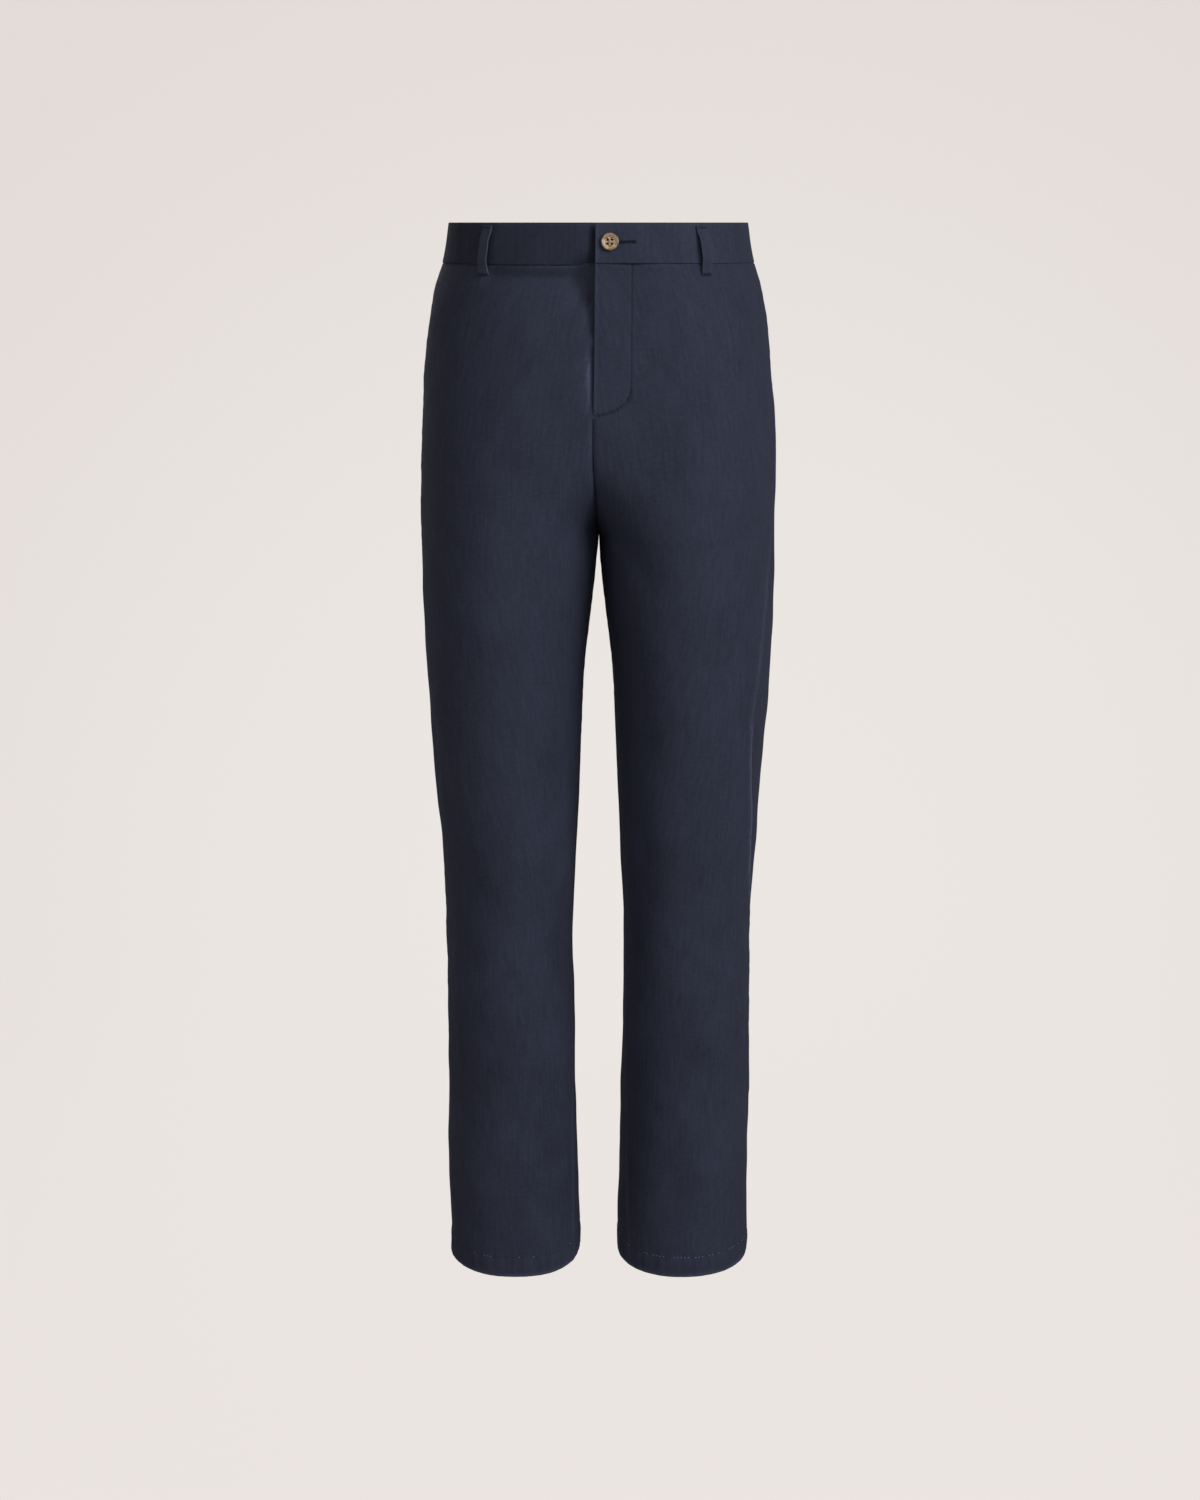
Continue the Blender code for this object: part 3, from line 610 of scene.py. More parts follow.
def mixed(tree, share, first, second):
    """A colour between two, each a colour or a socket, by a share from 0 to 1."""
    made = tree.nodes.new("ShaderNodeMix")
    made.data_type = "RGBA"
    tree.links.new(share, made.inputs[0])
    for socket, colour in zip((made.inputs[6], made.inputs[7]), (first, second)):
        if isinstance(colour, bpy.types.NodeSocket):
            tree.links.new(colour, socket)
        else:
            socket.default_value = (*colour, 1)
    return made.outputs[2]


def twill_group():
    """Twill weave in the cloth's own metres: a height for its diagonal ribs and yarns, and a
    shade from 0 to 1 for uneven dye, slubs and fading."""
    group = bpy.data.node_groups.new("Twill weave", "ShaderNodeTree")
    new_socket(group, "Cloth", "NodeSocketVector")
    new_socket(group, "Ribs a metre", default=1500.0)
    new_socket(group, "Picks a metre", default=1900.0)
    new_socket(group, "Slub", default=1.3)
    new_socket(group, "Height", out=True)
    new_socket(group, "Shade", out=True)
    given = group.nodes.new("NodeGroupInput")
    result = group.nodes.new("NodeGroupOutput")

    def math_node(operation, first, second=0.0):
        return node(group, "ShaderNodeMath", operation=operation, in_0=first,
                    in_1=second).outputs[0]

    def plus(first, second):
        return math_node("ADD", first, second)

    def times(first, second):
        return math_node("MULTIPLY", first, second)

    def noise(stretch, detail):
        placed = node(group, "ShaderNodeMapping", Vector=given.outputs["Cloth"], Scale=stretch)
        return node(group, "ShaderNodeTexNoise", Vector=placed.outputs[0], Scale=1.0,
                    Detail=detail, Roughness=0.6).outputs["Fac"]

    apart = node(group, "ShaderNodeSeparateXYZ", Vector=given.outputs["Cloth"])
    # The ribs climb to the right at about 60 degrees, and waver as the yarns do.
    waver = times(noise((60, 60, 1), 2.0), 0.0016)
    slanted = plus(times(apart.outputs["X"], 0.87), times(apart.outputs["Y"], -0.5))
    turns = times(plus(slanted, waver), given.outputs["Ribs a metre"])
    rib = math_node("SINE", times(turns, 2 * math.pi))
    crossing = times(apart.outputs["Y"], given.outputs["Picks a metre"])
    picks = math_node("SINE", times(crossing, 2 * math.pi))
    yarn = noise((1500, 90, 1), 1.0)
    height = plus(plus(times(rib, 0.35), times(picks, 0.12)), times(yarn, 0.9))
    warp = noise((400, 34, 1), 3.0)
    mottle = noise((190, 330, 1), 3.0)
    cloud = noise((16, 9, 1), 4.0)
    streaks = math_node("SUBTRACT", plus(times(warp, 0.6), times(mottle, 0.4)), 0.5)
    shade = plus(times(cloud, 0.8), times(streaks, given.outputs["Slub"]))
    shade = plus(shade, times(rib, 0.06))
    group.links.new(height, result.inputs["Height"])
    group.links.new(plus(shade, 0.10), result.inputs["Shade"])
    return group


TWILL = twill_group()


def navy_twill(name="Navy twill", dark=(0.0206, 0.0230, 0.0395), light=(0.0450, 0.0520, 0.0865)):
    """Dyed cotton twill, with a short nap that catches the light and edges a little worn; the same
    paler colour also paints highlights on a side seam's ridge and beside the fly.
    """
    material, tree, shader = new_material(name)
    cloth = node(tree, "ShaderNodeUVMap", uv_map="cloth")
    weave = node(tree, "ShaderNodeGroup", node_tree=TWILL, Cloth=cloth.outputs["UV"])
    # This attribute carries both the cloth's wear and painted highlights.
    worn = node(tree, "ShaderNodeAttribute", attribute_name="wear_and_highlight")
    dye = mixed(tree, weave.outputs["Shade"], dark, light)
    patchy_wear_and_highlight = node(tree, "ShaderNodeMath", operation="MULTIPLY", in_0=worn.outputs["Fac"],
                  in_1=weave.outputs["Shade"])
    # Paler colour for worn cloth, also used for the painted highlights.
    dye_worn_and_lit = mixed(tree, patchy_wear_and_highlight.outputs[0], dye, (0.105, 0.125, 0.200))
    raised = node(tree, "ShaderNodeBump", Strength=0.35, Distance=0.00025,
                  Height=weave.outputs["Height"])
    set_inputs(shader, Base_Color=dye_worn_and_lit, Normal=raised.outputs["Normal"], Roughness=0.80,
               Specular_IOR_Level=0.09, Sheen_Weight=0.02, Sheen_Roughness=0.35,
               Sheen_Tint=(0.62, 0.70, 1.0, 1))
    return material


NAVY = navy_twill()


@lru_cache(maxsize=None)
def panel_levels(fly):
    """Drops of a panel's rows, closer above the fork, where the rise runs level, and closer at
    the foot of the fly."""
    fine = np.linspace(BAND_LEVEL_FOOT, HEM_DROP, 2400)
    reach = np.array([front_end(drop) for drop in fine])
    slide = np.where(fine[1:] > FORK_DROP, 0.0, np.diff(reach) * LEVEL_RISE)
    closer = fly * FINE_ROWS * bump(fine[1:] - FLY_FOOT + FINE_ABOVE, FINE_OVER)
    steps = np.hypot(np.diff(fine), slide) + np.diff(fine) * closer
    travelled = np.concatenate(([0.0], np.cumsum(steps)))
    return np.interp(np.linspace(0, travelled[-1], round(travelled[-1] / ROW)), travelled, fine)


def band_foot(half, from_centre):
    """Drop of the waist seam at distances from the centre front."""
    foot = BAND_FOOT[half]
    return foot + (BAND_LEVEL_FOOT - foot) * ease(from_centre / BAND_EASE)


def front_ends(half, drop):
    """Distances round of a front's centre or inseam edge and its side edge."""
    inner = front_end(drop)
    if drop > FORK_DROP:
        inner += seam_turn(half, "inseam", drop)
    elif half == RIGHT and drop < FLY_FOOT:
        inner -= FLY_TUCK
    return inner, -seam_turn(half, "side", drop)


def back_ends(half, drop):
    """Distances round of a back's side edge and its centre or inseam edge."""
    inner = back_end(drop)
    if drop > FORK_DROP:
        inner += seam_turn(half, "inseam", drop)
    return -seam_turn(half, "side", drop), inner


# How the panels go up into the waistband: places below its foot, and how far in they lie there.
TUCK_FROM = np.array((-0.0022, -0.0014, -0.0006, 0.0000, 0.0006, 0.0013, 0.0020, 0.0030))
TUCK_IN = np.array((0.0013, 0.0012, 0.0010, 0.0008, 0.0005, 0.0002, 0.0, 0.0))
# Away from the fly they reach further up.
TUCK_REACH, TUCK_SIDE, TUCK_EASE = 0.0070, 0.055, 0.030
HEM_ROUND = 0.0008        # inner radius of the hem's fold
# Wear, from 0 to 1, and the distance over which it fades: of the panels' edges and of the hem's
# fold;
# and a painted highlight on the right front beside the edge of the fly, where that slope catches the
# light.
EDGE_WEAR, EDGE_WEAR_OVER = 0.32, 0.0025
HEM_WEAR, HEM_WEAR_OVER = 0.7, 0.0025
FLY_HIGHLIGHT, FLY_HIGHLIGHT_FROM, FLY_HIGHLIGHT_OVER, FLY_HIGHLIGHT_DROP, FLY_HIGHLIGHT_DOWN = 0.9, 0.0042, 0.0022, 0.142, 0.020
# Wear and painted highlight along a side seam's ridge: the swell at which it is whole, and its share
# and width, relative to the ridge's, where that is broad and where it is narrow. It is strongest on
# the left side seam's tall swell, on the key light's side.
WEAR_GLINT_SWELL, WEAR_GLINT_ASIDE, WEAR_GLINT_TURN = 0.0021, 0.0006, 0.020
WEAR_GLINT_BROAD, WEAR_GLINT_NARROW = (0.32, 0.75), (1.20, 0.60)


def ridge_wear_and_highlight(half, drop, along):
    """Wear and painted highlight along a side seam's ridge."""
    narrow = ease((drop - RIDGE_TURN) / WEAR_GLINT_TURN) if half == LEFT else 1
    share, width = ((1 - narrow) * broad + narrow * slim
                    for broad, slim in zip(WEAR_GLINT_BROAD, WEAR_GLINT_NARROW))
    swell = at(SEAM_SWELL, f"{SIDE[half]}_side", drop) / WEAR_GLINT_SWELL
    from_ridge = along + seam_turn(half, "side", drop) - WEAR_GLINT_ASIDE
    return share * swell ** 2 * bump(from_ridge, width * ridge_width(half, drop))


def panel(name, half, ends, replaced):
    """A front or back, from the waist seam, where it goes up into the waistband, down round the
    fold of the hem and up behind it."""
    fly = half == LEFT and ends is front_ends
    columns = len(FLY_COLUMNS) + FLY_REST if fly else COLUMNS
    levels = panel_levels(fly)
    fold_turn = np.linspace(0, math.pi, FOLD_STEPS + 1)[1:]
    rise = np.linspace(0, HEM_TURN, RISE_STEPS + 1)[1:]
    rows = len(TUCK_FROM) + len(levels) - 1 + len(fold_turn) + len(rise)
    plain = np.zeros(columns)
    edge_from = np.concatenate((EDGE_FROM, plain + 1, EDGE_FROM[::-1]))
    edge_in = np.concatenate((EDGE_IN, plain, EDGE_IN[::-1]))
    worn = EDGE_WEAR * np.exp(-edge_from / EDGE_WEAR_OVER)

    def across(drop):
        first, last = ends(half, drop)
        close = first + FLY_COLUMNS if fly else np.array([])
        begin = close[-1] if fly else first + EDGE_FROM[-1]
        beyond = np.linspace(begin, last - EDGE_FROM[-1], columns - len(close) + 2)[1:-1]
        return np.concatenate((first + EDGE_FROM, close, beyond, last - EDGE_FROM[::-1]))

    # Painted highlight: a pale streak on the right front beside the fly's folded edge, standing in
    # for light caught by the cloth's slope there.
    def fly_edge_highlight(drop, along):
        if half == LEFT or ends is back_ends:
            return 0.0
        beside = along - front_end(drop) - FLY_HIGHLIGHT_FROM
        return FLY_HIGHLIGHT * bump(beside, FLY_HIGHLIGHT_OVER) * bump(drop - FLY_HIGHLIGHT_DROP, FLY_HIGHLIGHT_DOWN)

    def place(row):
        inwards, drop = 0.0, HEM_DROP
        if row < len(TUCK_FROM):
            # The waist seam, whose drop changes along the panel.
            along = across(BAND_LEVEL_FOOT)
            from_centre = np.maximum(along - front_end(BAND_LEVEL_FOOT), 0.0)
            drops = band_foot(half, from_centre) + TUCK_FROM[row]
            if row == 0:
                drops -= TUCK_REACH * ease((from_centre - TUCK_SIDE) / TUCK_EASE)
            lift = -edge_in - TUCK_IN[row]
            points = between_levels(drops, lambda level: on_cloth(half, level, across(level), lift))
            return points, along, worn
        row -= len(TUCK_FROM)
        if row < len(levels) - 1:
            drop = levels[row + 1] + TUCK_FROM[-1] * max(0.0, 1 - row / 3)
        elif row < len(levels) - 1 + len(fold_turn):
            turn = fold_turn[row - len(levels) + 1]
            drop = HEM_DROP + HEM_ROUND * math.sin(turn)
            inwards = HEM_ROUND * (1 - math.cos(turn))
        else:
            drop = HEM_DROP - rise[row - len(levels) + 1 - len(fold_turn)]
            inwards = 2 * HEM_ROUND
        level = min(drop, HEM_DROP)
        along = across(level)
        points = on_cloth(half, level, along, -inwards - edge_in)
        points[:, 2] -= max(drop - HEM_DROP, 0.0)
        # Edge wear, plus painted highlights on the side seam's ridge and beside the fly.
        panel_wear_and_highlight = worn + ridge_wear_and_highlight(half, level, along) + fly_edge_highlight(level, along)
        hem_wear = HEM_WEAR * bump(drop - HEM_DROP, HEM_WEAR_OVER)
        return points, along, np.maximum(panel_wear_and_highlight, hem_wear)

    mesh = bend_grid(name, len(edge_in) - 1, rows - 1, place, half == RIGHT)
    piece = thicken(add_piece(name, mesh, NAVY), CLOTH)
    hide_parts(replaced)


for half, side in SIDE.items():
    panel(f"{side}_front", half, front_ends, f"front_{side}")
    panel(f"{side}_back", half, back_ends, f"back_{side}")

# ---- Waistband ----
# A straight strip of the same twill, folded lengthwise over a stiffening and sewn to the tops of
# the panels, in two halves joined at the centre back. The left half laps over the right one.
BAND_PROUD = 0.0006
BAND_ROUND = 0.0009       # half its thickness
UNDERLAP, OVERLAP_LIFT, OVERLAP_EASE = 0.031, 0.0021, 0.022
# How far the right half lies back where the left one laps over it, and how widely.
UNDERLAP_HOLLOW, HOLLOW_WIDTH, HOLLOW_PAST = 0.0062, 0.010, 0.002
BAND_COLUMNS, BAND_ROWS = 200, 16
# Its rows, as shares of the way down, and how its foot turns in: shares and depths.
BAND_FACE, FOOT_TURN = (0.06, 0.96), ((0.985, 0.0001), (0.996, 0.0004), (1.0, BAND_ROUND))
BAND_RIPPLE, BAND_RIPPLES = 0.00018, ((0.023, 0.4), (0.037, 2.6), (0.011, 4.0))
BAND_SWAY, BAND_SWAYS = 0.0002, ((0.09, 1.0),)
BAND_END_WEAR, BAND_END_OVER = 0.5, 0.002
BAND_TOP_WEAR, BAND_TOP_OVER = 0.15, 0.0015
JOIN = 0.000005


def band_out(half, from_centre):
    """How far the face of the waistband stands out of the form."""
    lift = OVERLAP_LIFT * (1 - ease((from_centre - UNDERLAP) / OVERLAP_EASE))
    hollow = UNDERLAP_HOLLOW * bump(from_centre + HOLLOW_PAST, HOLLOW_WIDTH)
    return BAND_PROUD + (lift if half == LEFT else -hollow)


def band_relief(drop, from_centre):
    """The band's own unevenness: the strip is pulled at its foot, and sways a little."""
    ripple = BAND_RIPPLE * waves(from_centre, BAND_RIPPLES) * ease(drop / BAND_LEVEL_FOOT)
    return ripple + BAND_SWAY * waves(from_centre + 2 * drop, BAND_SWAYS)


def band_points(half, share, from_centre, out):
    """Points of the waistband at a share of the way down from its top edge to its foot."""
    sag = BAND_SAG[half] * (1 - ease(from_centre / BAND_EASE))
    drops = sag + (band_foot(half, np.maximum(from_centre, 0)) - sag) * share

    def line(drop):
        reach = (back_end(drop) - front_end(drop)) / (back_end(0.0) - front_end(0.0))
        along = front_end(drop) + np.where(from_centre > 0, from_centre * reach, from_centre)
        return on_form(half, drop, np.minimum(along, back_end(drop)), out)

    return between_levels(drops, line)


def round_ends(length, radius, count):
    """Places along a strip, closer at its two rounded ends, with their distances from the nearer
    end and how far the strip is open there, from 0 to 1."""
    ends = radius * (1 - np.cos(np.linspace(0, math.pi / 2, 5)))
    places = np.concatenate((ends[:-1], np.linspace(radius, length - radius, count),
                             length - ends[-2::-1]))
    from_end = np.minimum(places, length - places)
    return places, from_end, np.sqrt(1 - (1 - np.minimum(from_end / radius, 1)) ** 2)


def close_up(mesh):
    """Joins the points of a mesh that lie on each other."""
    joined = bmesh.new()
    joined.from_mesh(mesh)
    bmesh.ops.remove_doubles(joined, verts=joined.verts, dist=JOIN)
    bmesh.ops.dissolve_degenerate(joined, edges=joined.edges, dist=JOIN)
    joined.to_mesh(mesh)
    joined.free()


# The right half, on the side away from the key light, gets a darker copy of the twill: painted
# shade.
BAND_TWILL_SHADED = {LEFT: NAVY, RIGHT: navy_twill("Navy twill, painted shade", (0.0148, 0.0168, 0.0285),
                                          (0.0325, 0.0378, 0.0620))}


def waistband(name, half, past_centre, replaced):
    """Half of the waistband: a strip folded over its top edge, its front end closed."""
    turn = np.linspace(0, math.pi, 9)
    down = np.linspace(*BAND_FACE, BAND_ROWS)
    profile = [*FOOT_TURN[::-1], *((share, 0.0) for share in down[::-1])]
    profile += [(BAND_ROUND * (1 - math.sin(a)) / BAND_LEVEL_FOOT, BAND_ROUND * (1 - math.cos(a)))
                for a in turn]
    profile += [(share, 2 * BAND_ROUND) for share in down]
    profile += [(share, 2 * BAND_ROUND - depth) for share, depth in FOOT_TURN]
    last = back_end(0.0) - front_end(0.0)
    places, from_end, open_share = round_ends(last + past_centre, BAND_ROUND, BAND_COLUMNS)
    from_centre = places - past_centre
    worn = BAND_END_WEAR * np.exp(-from_end / BAND_END_OVER)

    def place(row):
        share, deep = profile[row]
        face = band_out(half, from_centre) + band_relief(share * BAND_LEVEL_FOOT, from_centre)
        out = face - BAND_ROUND + (BAND_ROUND - deep) * open_share
        points = band_points(half, share, from_centre, out)
        top = BAND_TOP_WEAR * math.exp(-share * BAND_LEVEL_FOOT / BAND_TOP_OVER)
        return points, from_centre, np.maximum(worn, top)

    mesh = bend_grid(name, len(from_centre) - 1, len(profile) - 1, place, half == LEFT)
    close_up(mesh)
    piece = add_piece(name, mesh, BAND_TWILL_SHADED[half])
    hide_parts(replaced)


waistband("left_waistband", LEFT, 0.0, "waistband_left")
waistband("right_waistband", RIGHT, UNDERLAP, "waistband_right")

# ---- Fly shield ----
# A plain strip of the twill behind the fly, sewn to the right front's edge, so that no gap shows
# between the folded edges.
SHIELD_ROWS, SHIELD_COLUMNS = 44, 26
SHIELD_REACH = {LEFT: 0.036, RIGHT: 0.012}
SHIELD_DEPTH, SHIELD_CLOTH = 0.0021, 0.0010
SHIELD_TOP, SHIELD_FOOT = 0.0400, 0.186


def shield_row(row):
    """A row of the shield, which follows the folds of the right front."""
    drop = SHIELD_TOP + (SHIELD_FOOT - SHIELD_TOP) * row / SHIELD_ROWS
    from_centre = np.linspace(SHIELD_REACH[RIGHT], -SHIELD_REACH[LEFT], SHIELD_COLUMNS + 1)
    along = front_end(drop) + from_centre
    points = on_form(RIGHT, drop, along, -SHIELD_DEPTH)
    return points, from_centre, np.zeros_like(from_centre)


shield_mesh = bend_grid("shield", SHIELD_COLUMNS, SHIELD_ROWS, shield_row, False)
shield = thicken(add_piece("shield_strip", shield_mesh, NAVY), SHIELD_CLOTH)
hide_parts("fly_shield")

# ---- Fly and hem stitching ----
# Navy lockstitching: one curved row that holds the fly's facing, with near-black beads of painted
# shade along its curve, and one row round each hem that holds its turn-up, some of its stitches pale
# as painted glints.
THREAD = 0.00042          # thickness of the sewing thread
# Length, width and height of the stitches in the cloth, and how far they stand out of it.
FLY_STITCH, FLY_STITCH_LIFT = (0.0024, THREAD, THREAD), 0.0001
CURVE_STITCH, CURVE_STITCH_LIFT = (0.0022, 0.0011, 0.0006), 0.0002
HEM_STITCH, HEM_STITCH_LIFT = (0.0020, 0.0012, 0.0005), 0.0003


def fibres(tree, scale):
    """Fine fibres, from 0 to 1, in the piece's own space."""
    place = node(tree, "ShaderNodeTexCoord")
    return node(tree, "ShaderNodeTexNoise", Vector=place.outputs["Object"], Scale=scale,
                Detail=2.0).outputs["Fac"]


def thread_material(name, colour):
    """Twisted polyester sewing thread."""
    material, tree, shader = new_material(name)
    twist = fibres(tree, 2600.0)
    dark, light = (tuple(share * part for part in colour) for share in (0.6, 1.4))
    shades = mixed(tree, twist, dark, light)
    raised = node(tree, "ShaderNodeBump", Strength=0.4, Distance=0.0001, Height=twist)
    set_inputs(shader, Base_Color=shades, Normal=raised.outputs["Normal"], Roughness=0.6,
               Specular_IOR_Level=0.2)
    return material


NAVY_THREAD = thread_material("Navy thread", (0.014, 0.018, 0.036))
SHADED_THREAD = thread_material("Navy thread, painted shade", (0.006, 0.007, 0.012))
GLINT_THREAD = thread_material("Navy thread, painted glint", (0.105, 0.115, 0.155))


def stitches(name, points, outs, size, material, lean=0.0):
    """A row of stitches: a low bead of thread at each point, laid along the row, or across it by
    lean, with outs the directions away from the cloth. size is (length, width, height)."""
    beads = bmesh.new()
    for index, (point, out) in enumerate(zip(points, outs)):
        before, after = points[max(index - 1, 0)], points[min(index + 1, len(points) - 1)]
        along = (Vector(after) - Vector(before)).normalized()
        out = Vector(out).normalized()
        across = out.cross(along).normalized()
        along, across = (along * math.cos(lean) + across * math.sin(lean),
                         across * math.cos(lean) - along * math.sin(lean))
        turn = Matrix((along * size[0], across * size[1], out * size[2])).transposed().to_4x4()
        bmesh.ops.create_uvsphere(beads, u_segments=8, v_segments=6, radius=0.5,
                                  matrix=Matrix.Translation(Vector(point)) @ turn)
    mesh = to_mesh(beads, name)
    mesh.shade_smooth()
    add_piece(name, mesh, material)


def directions(half, drop, along):
    """Level directions away from the form at a drop, as rows of x, y and z."""
    level = outward(drop, along)
    return np.column_stack((half * level[:, 0], level[:, 1], np.zeros(len(level))))


def sewn_to_panel(name, half, drops, alongs, lift, size, material):
    """Stitches on the outside of a panel, lifted from it."""
    places = [(drop, np.array([along])) for drop, along in zip(drops, alongs)]
    points = [on_cloth(half, drop, along, lift)[0] for drop, along in places]
    outs = [directions(half, drop, along)[0] for drop, along in places]
    stitches(name, points, outs, size, material)


FLY_PITCH, BELOW_BAND = 0.0031, 0.003
CURVE_SHORT, CURVE_STITCHES = (0.04, 0.06), 14        # how far short of the curve's ends, as angles
straight = np.arange(BAND_FOOT[LEFT] + BELOW_BAND, FLY_FOOT - FLY_STITCH_TURN, FLY_PITCH)
curve = np.linspace(CURVE_SHORT[0], math.pi / 2 - CURVE_SHORT[1], CURVE_STITCHES)
fly_drops = np.concatenate((straight, FLY_FOOT - FLY_STITCH_TURN * (1 - np.sin(curve))))
fly_reach = np.concatenate((np.full(len(straight), FLY_STITCH_X), FLY_STITCH_X * np.cos(curve)))
fly_along = [front_end(drop) + reach for drop, reach in zip(fly_drops, fly_reach)]
on_curve = slice(len(straight), None)
sewn_to_panel("fly_stitching", LEFT, fly_drops, fly_along, FLY_STITCH_LIFT, FLY_STITCH, NAVY_THREAD)
# Near-black beads over the curve's stitches: painted shade where the stitching draws the cloth in.
sewn_to_panel("fly_curve_stitching", LEFT, fly_drops[on_curve], fly_along[on_curve],
              CURVE_STITCH_LIFT, CURVE_STITCH, SHADED_THREAD)

HEM_PITCH = 0.0037
# Pale beads among the hem's stitches are painted glints, more of them on the left half, on the key
# light's side.
HEM_GLINTS = {LEFT: 0.55, RIGHT: 0.28}   # share of the hem's stitches that show pale
chances = np.random.default_rng(7)
for half, side in SIDE.items():
    drop = HEM_DROP - HEM_STITCH_UP
    ring = np.arange(front_end(drop), back_end(drop), HEM_PITCH)
    pale = chances.random(len(ring)) < HEM_GLINTS[half]
    # Pale stitches are painted glints; the rest are plain navy thread.
    for name, chosen, thread in (("worn", pale, GLINT_THREAD), ("dark", ~pale, NAVY_THREAD)):
        along = ring[chosen]
        sewn_to_panel(f"{side}_hem_{name}_stitching", half, np.full(len(along), drop), along,
                      HEM_STITCH_LIFT, HEM_STITCH, thread)

# ---- Belt loops ----
# Five narrow strips of the twill, folded in three and stitched, their ends turned under and
# tacked down at the top of the waistband and below its foot. A belt goes behind them.

# top_x and foot_x are the places of a loop's ends, gap is how far it stands off and rise the share
# of its length that it takes to get there.
LOOP_COLUMNS = ("name", "half", "face", "top_x", "foot_x", "gap", "rise", "top_width", "width")
LOOPS = (
    ("loop_front_left", LEFT, "front", 0.0955, 0.1010, 0.0040, 0.35, 0.0122, 0.0104),
    ("loop_front_right", RIGHT, "front", 0.1020, 0.1075, 0.0034, 0.30, 0.0106, 0.0102),
    ("loop_back_left", LEFT, "back", 0.0860, 0.0895, 0.0040, 0.32, 0.0106, 0.0104),
    ("loop_back_right", RIGHT, "back", 0.0860, 0.0895, 0.0037, 0.34, 0.0106, 0.0104),
    ("loop_centre_back", LEFT, "back", 0.0, 0.0, 0.0040, 0.32, 0.0106, 0.0106),
)
LOOP_CLOTH, LOOP_FOLD = 0.0014, 0.0012      # its thickness, and of the turned-under ends
LOOP_TOP, LOOP_FOOT, LOOP_SEAT = 0.0028, 0.0482, 0.0035
LOOP_OFF = 0.0003
LOOP_ROWS, LOOP_ROUND, LOOP_ACROSS = 48, 10, 13
LOOP_EDGE = 0.021         # twice its width, for the rounding of its edges
LOOP_END = 0.0010         # rounding of its ends
LOOP_WEAR, LOOP_WEAR_OVER = 0.55, 0.06      # of its edges
# Its tacks: places below and above where it leaves its seats, width, and how far they draw it in.
TACK_UP, TACK_DOWN, TACK_WIDTH, TACK_SINK = 0.0015, 0.0020, 0.0012, 0.0004
TACK_REACH, TACK_STITCHES, TACK_LEAN = 0.0043, 18, math.radians(78)
TACK_STITCH, TACK_STITCH_SINK = (0.0019, 0.00045, 0.0004), 0.0003


def along_at_x(drop, face, x):
    """Distance round at which the front or back of the left half has a given x."""
    points, distance = section(drop)
    side = 2 * ARC_STEPS - 2
    if face == "front":
        return np.interp(x, points[:side, 0], distance[:side])
    return np.interp(-x, -points[side:, 0], distance[side:])


def flat_ring():
    """The outline of a folded strip: shares across it and heights, from 0 to 1, round its edge."""
    turn = np.linspace(0, math.pi, LOOP_ROUND // 2 + 1)
    radius = LOOP_CLOTH / LOOP_EDGE
    end_s, end_h = 0.5 - radius + radius * np.sin(turn), 0.5 + 0.5 * np.cos(turn)
    face = np.linspace(-0.5 + radius, 0.5 - radius, LOOP_ACROSS + 2)[1:-1]
    across = np.concatenate((face, end_s, -face, -end_s, face[:1]))
    high = np.concatenate((face * 0 + 1, end_h, face * 0, 1 - end_h, np.ones(1)))
    return across, high


def belt_loop(values):
    """A belt loop, as a closed flat tube bent off the waistband between its two seats."""
    loop = dict(zip(LOOP_COLUMNS, values))
    leave, land = LOOP_TOP + LOOP_SEAT, LOOP_FOOT - LOOP_SEAT
    across, high = flat_ring()
    length = LOOP_FOOT - LOOP_TOP
    down, _, open_share = round_ends(length, LOOP_END, LOOP_ROWS)
    tacks = {"top": leave - TACK_UP, "foot": land + TACK_DOWN}

    def middle(drop):
        share = (drop - LOOP_TOP) / length
        x = loop["top_x"] + (loop["foot_x"] - loop["top_x"]) * share
        return along_at_x(drop, loop["face"], x)

    def seat(drop):
        return LOOP_OFF + BAND_PROUD * (1 - ease((drop - land) / LOOP_SEAT))

    def place(row):
        drop = LOOP_TOP + down[row]
        widening = ease(3 * down[row] / length)
        width = loop["top_width"] + (loop["width"] - loop["top_width"]) * widening
        way = np.clip((drop - leave) / (land - leave), 0, 1)
        off = ease(way / loop["rise"]) * ease((1 - way) / loop["rise"])
        thick = LOOP_CLOTH + LOOP_FOLD * (1 - off)
        along = middle(drop) + width * across
        drawn = TACK_SINK * sum(bump(drop - tack, TACK_WIDTH) for tack in tacks.values())
        out = seat(drop) + loop["gap"] * off + thick * (0.5 + (high - 0.5) * open_share[row])
        points = on_form(loop["half"], drop, along, out - drawn * high * open_share[row])
        return points, across * width, LOOP_WEAR * bump(np.abs(across) - 0.5, LOOP_WEAR_OVER)

    mesh = bend_grid(loop["name"] + "_strip", len(across) - 1, len(down) - 1, place,
                     loop["half"] == RIGHT)
    close_up(mesh)
    piece = add_piece(loop["name"] + "_strip", mesh, NAVY)
    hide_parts(loop["name"])
    for end, drop in tacks.items():
        reach = middle(drop) + np.linspace(-TACK_REACH, TACK_REACH, TACK_STITCHES)
        proud = seat(drop) + LOOP_CLOTH + LOOP_FOLD - TACK_STITCH_SINK
        points = on_form(loop["half"], drop, reach, proud)
        stitches(f"{loop['name']}_{end}_tack", points, directions(loop["half"], drop, reach),
                 TACK_STITCH, NAVY_THREAD, TACK_LEAN)


for row in LOOPS:
    belt_loop(row)

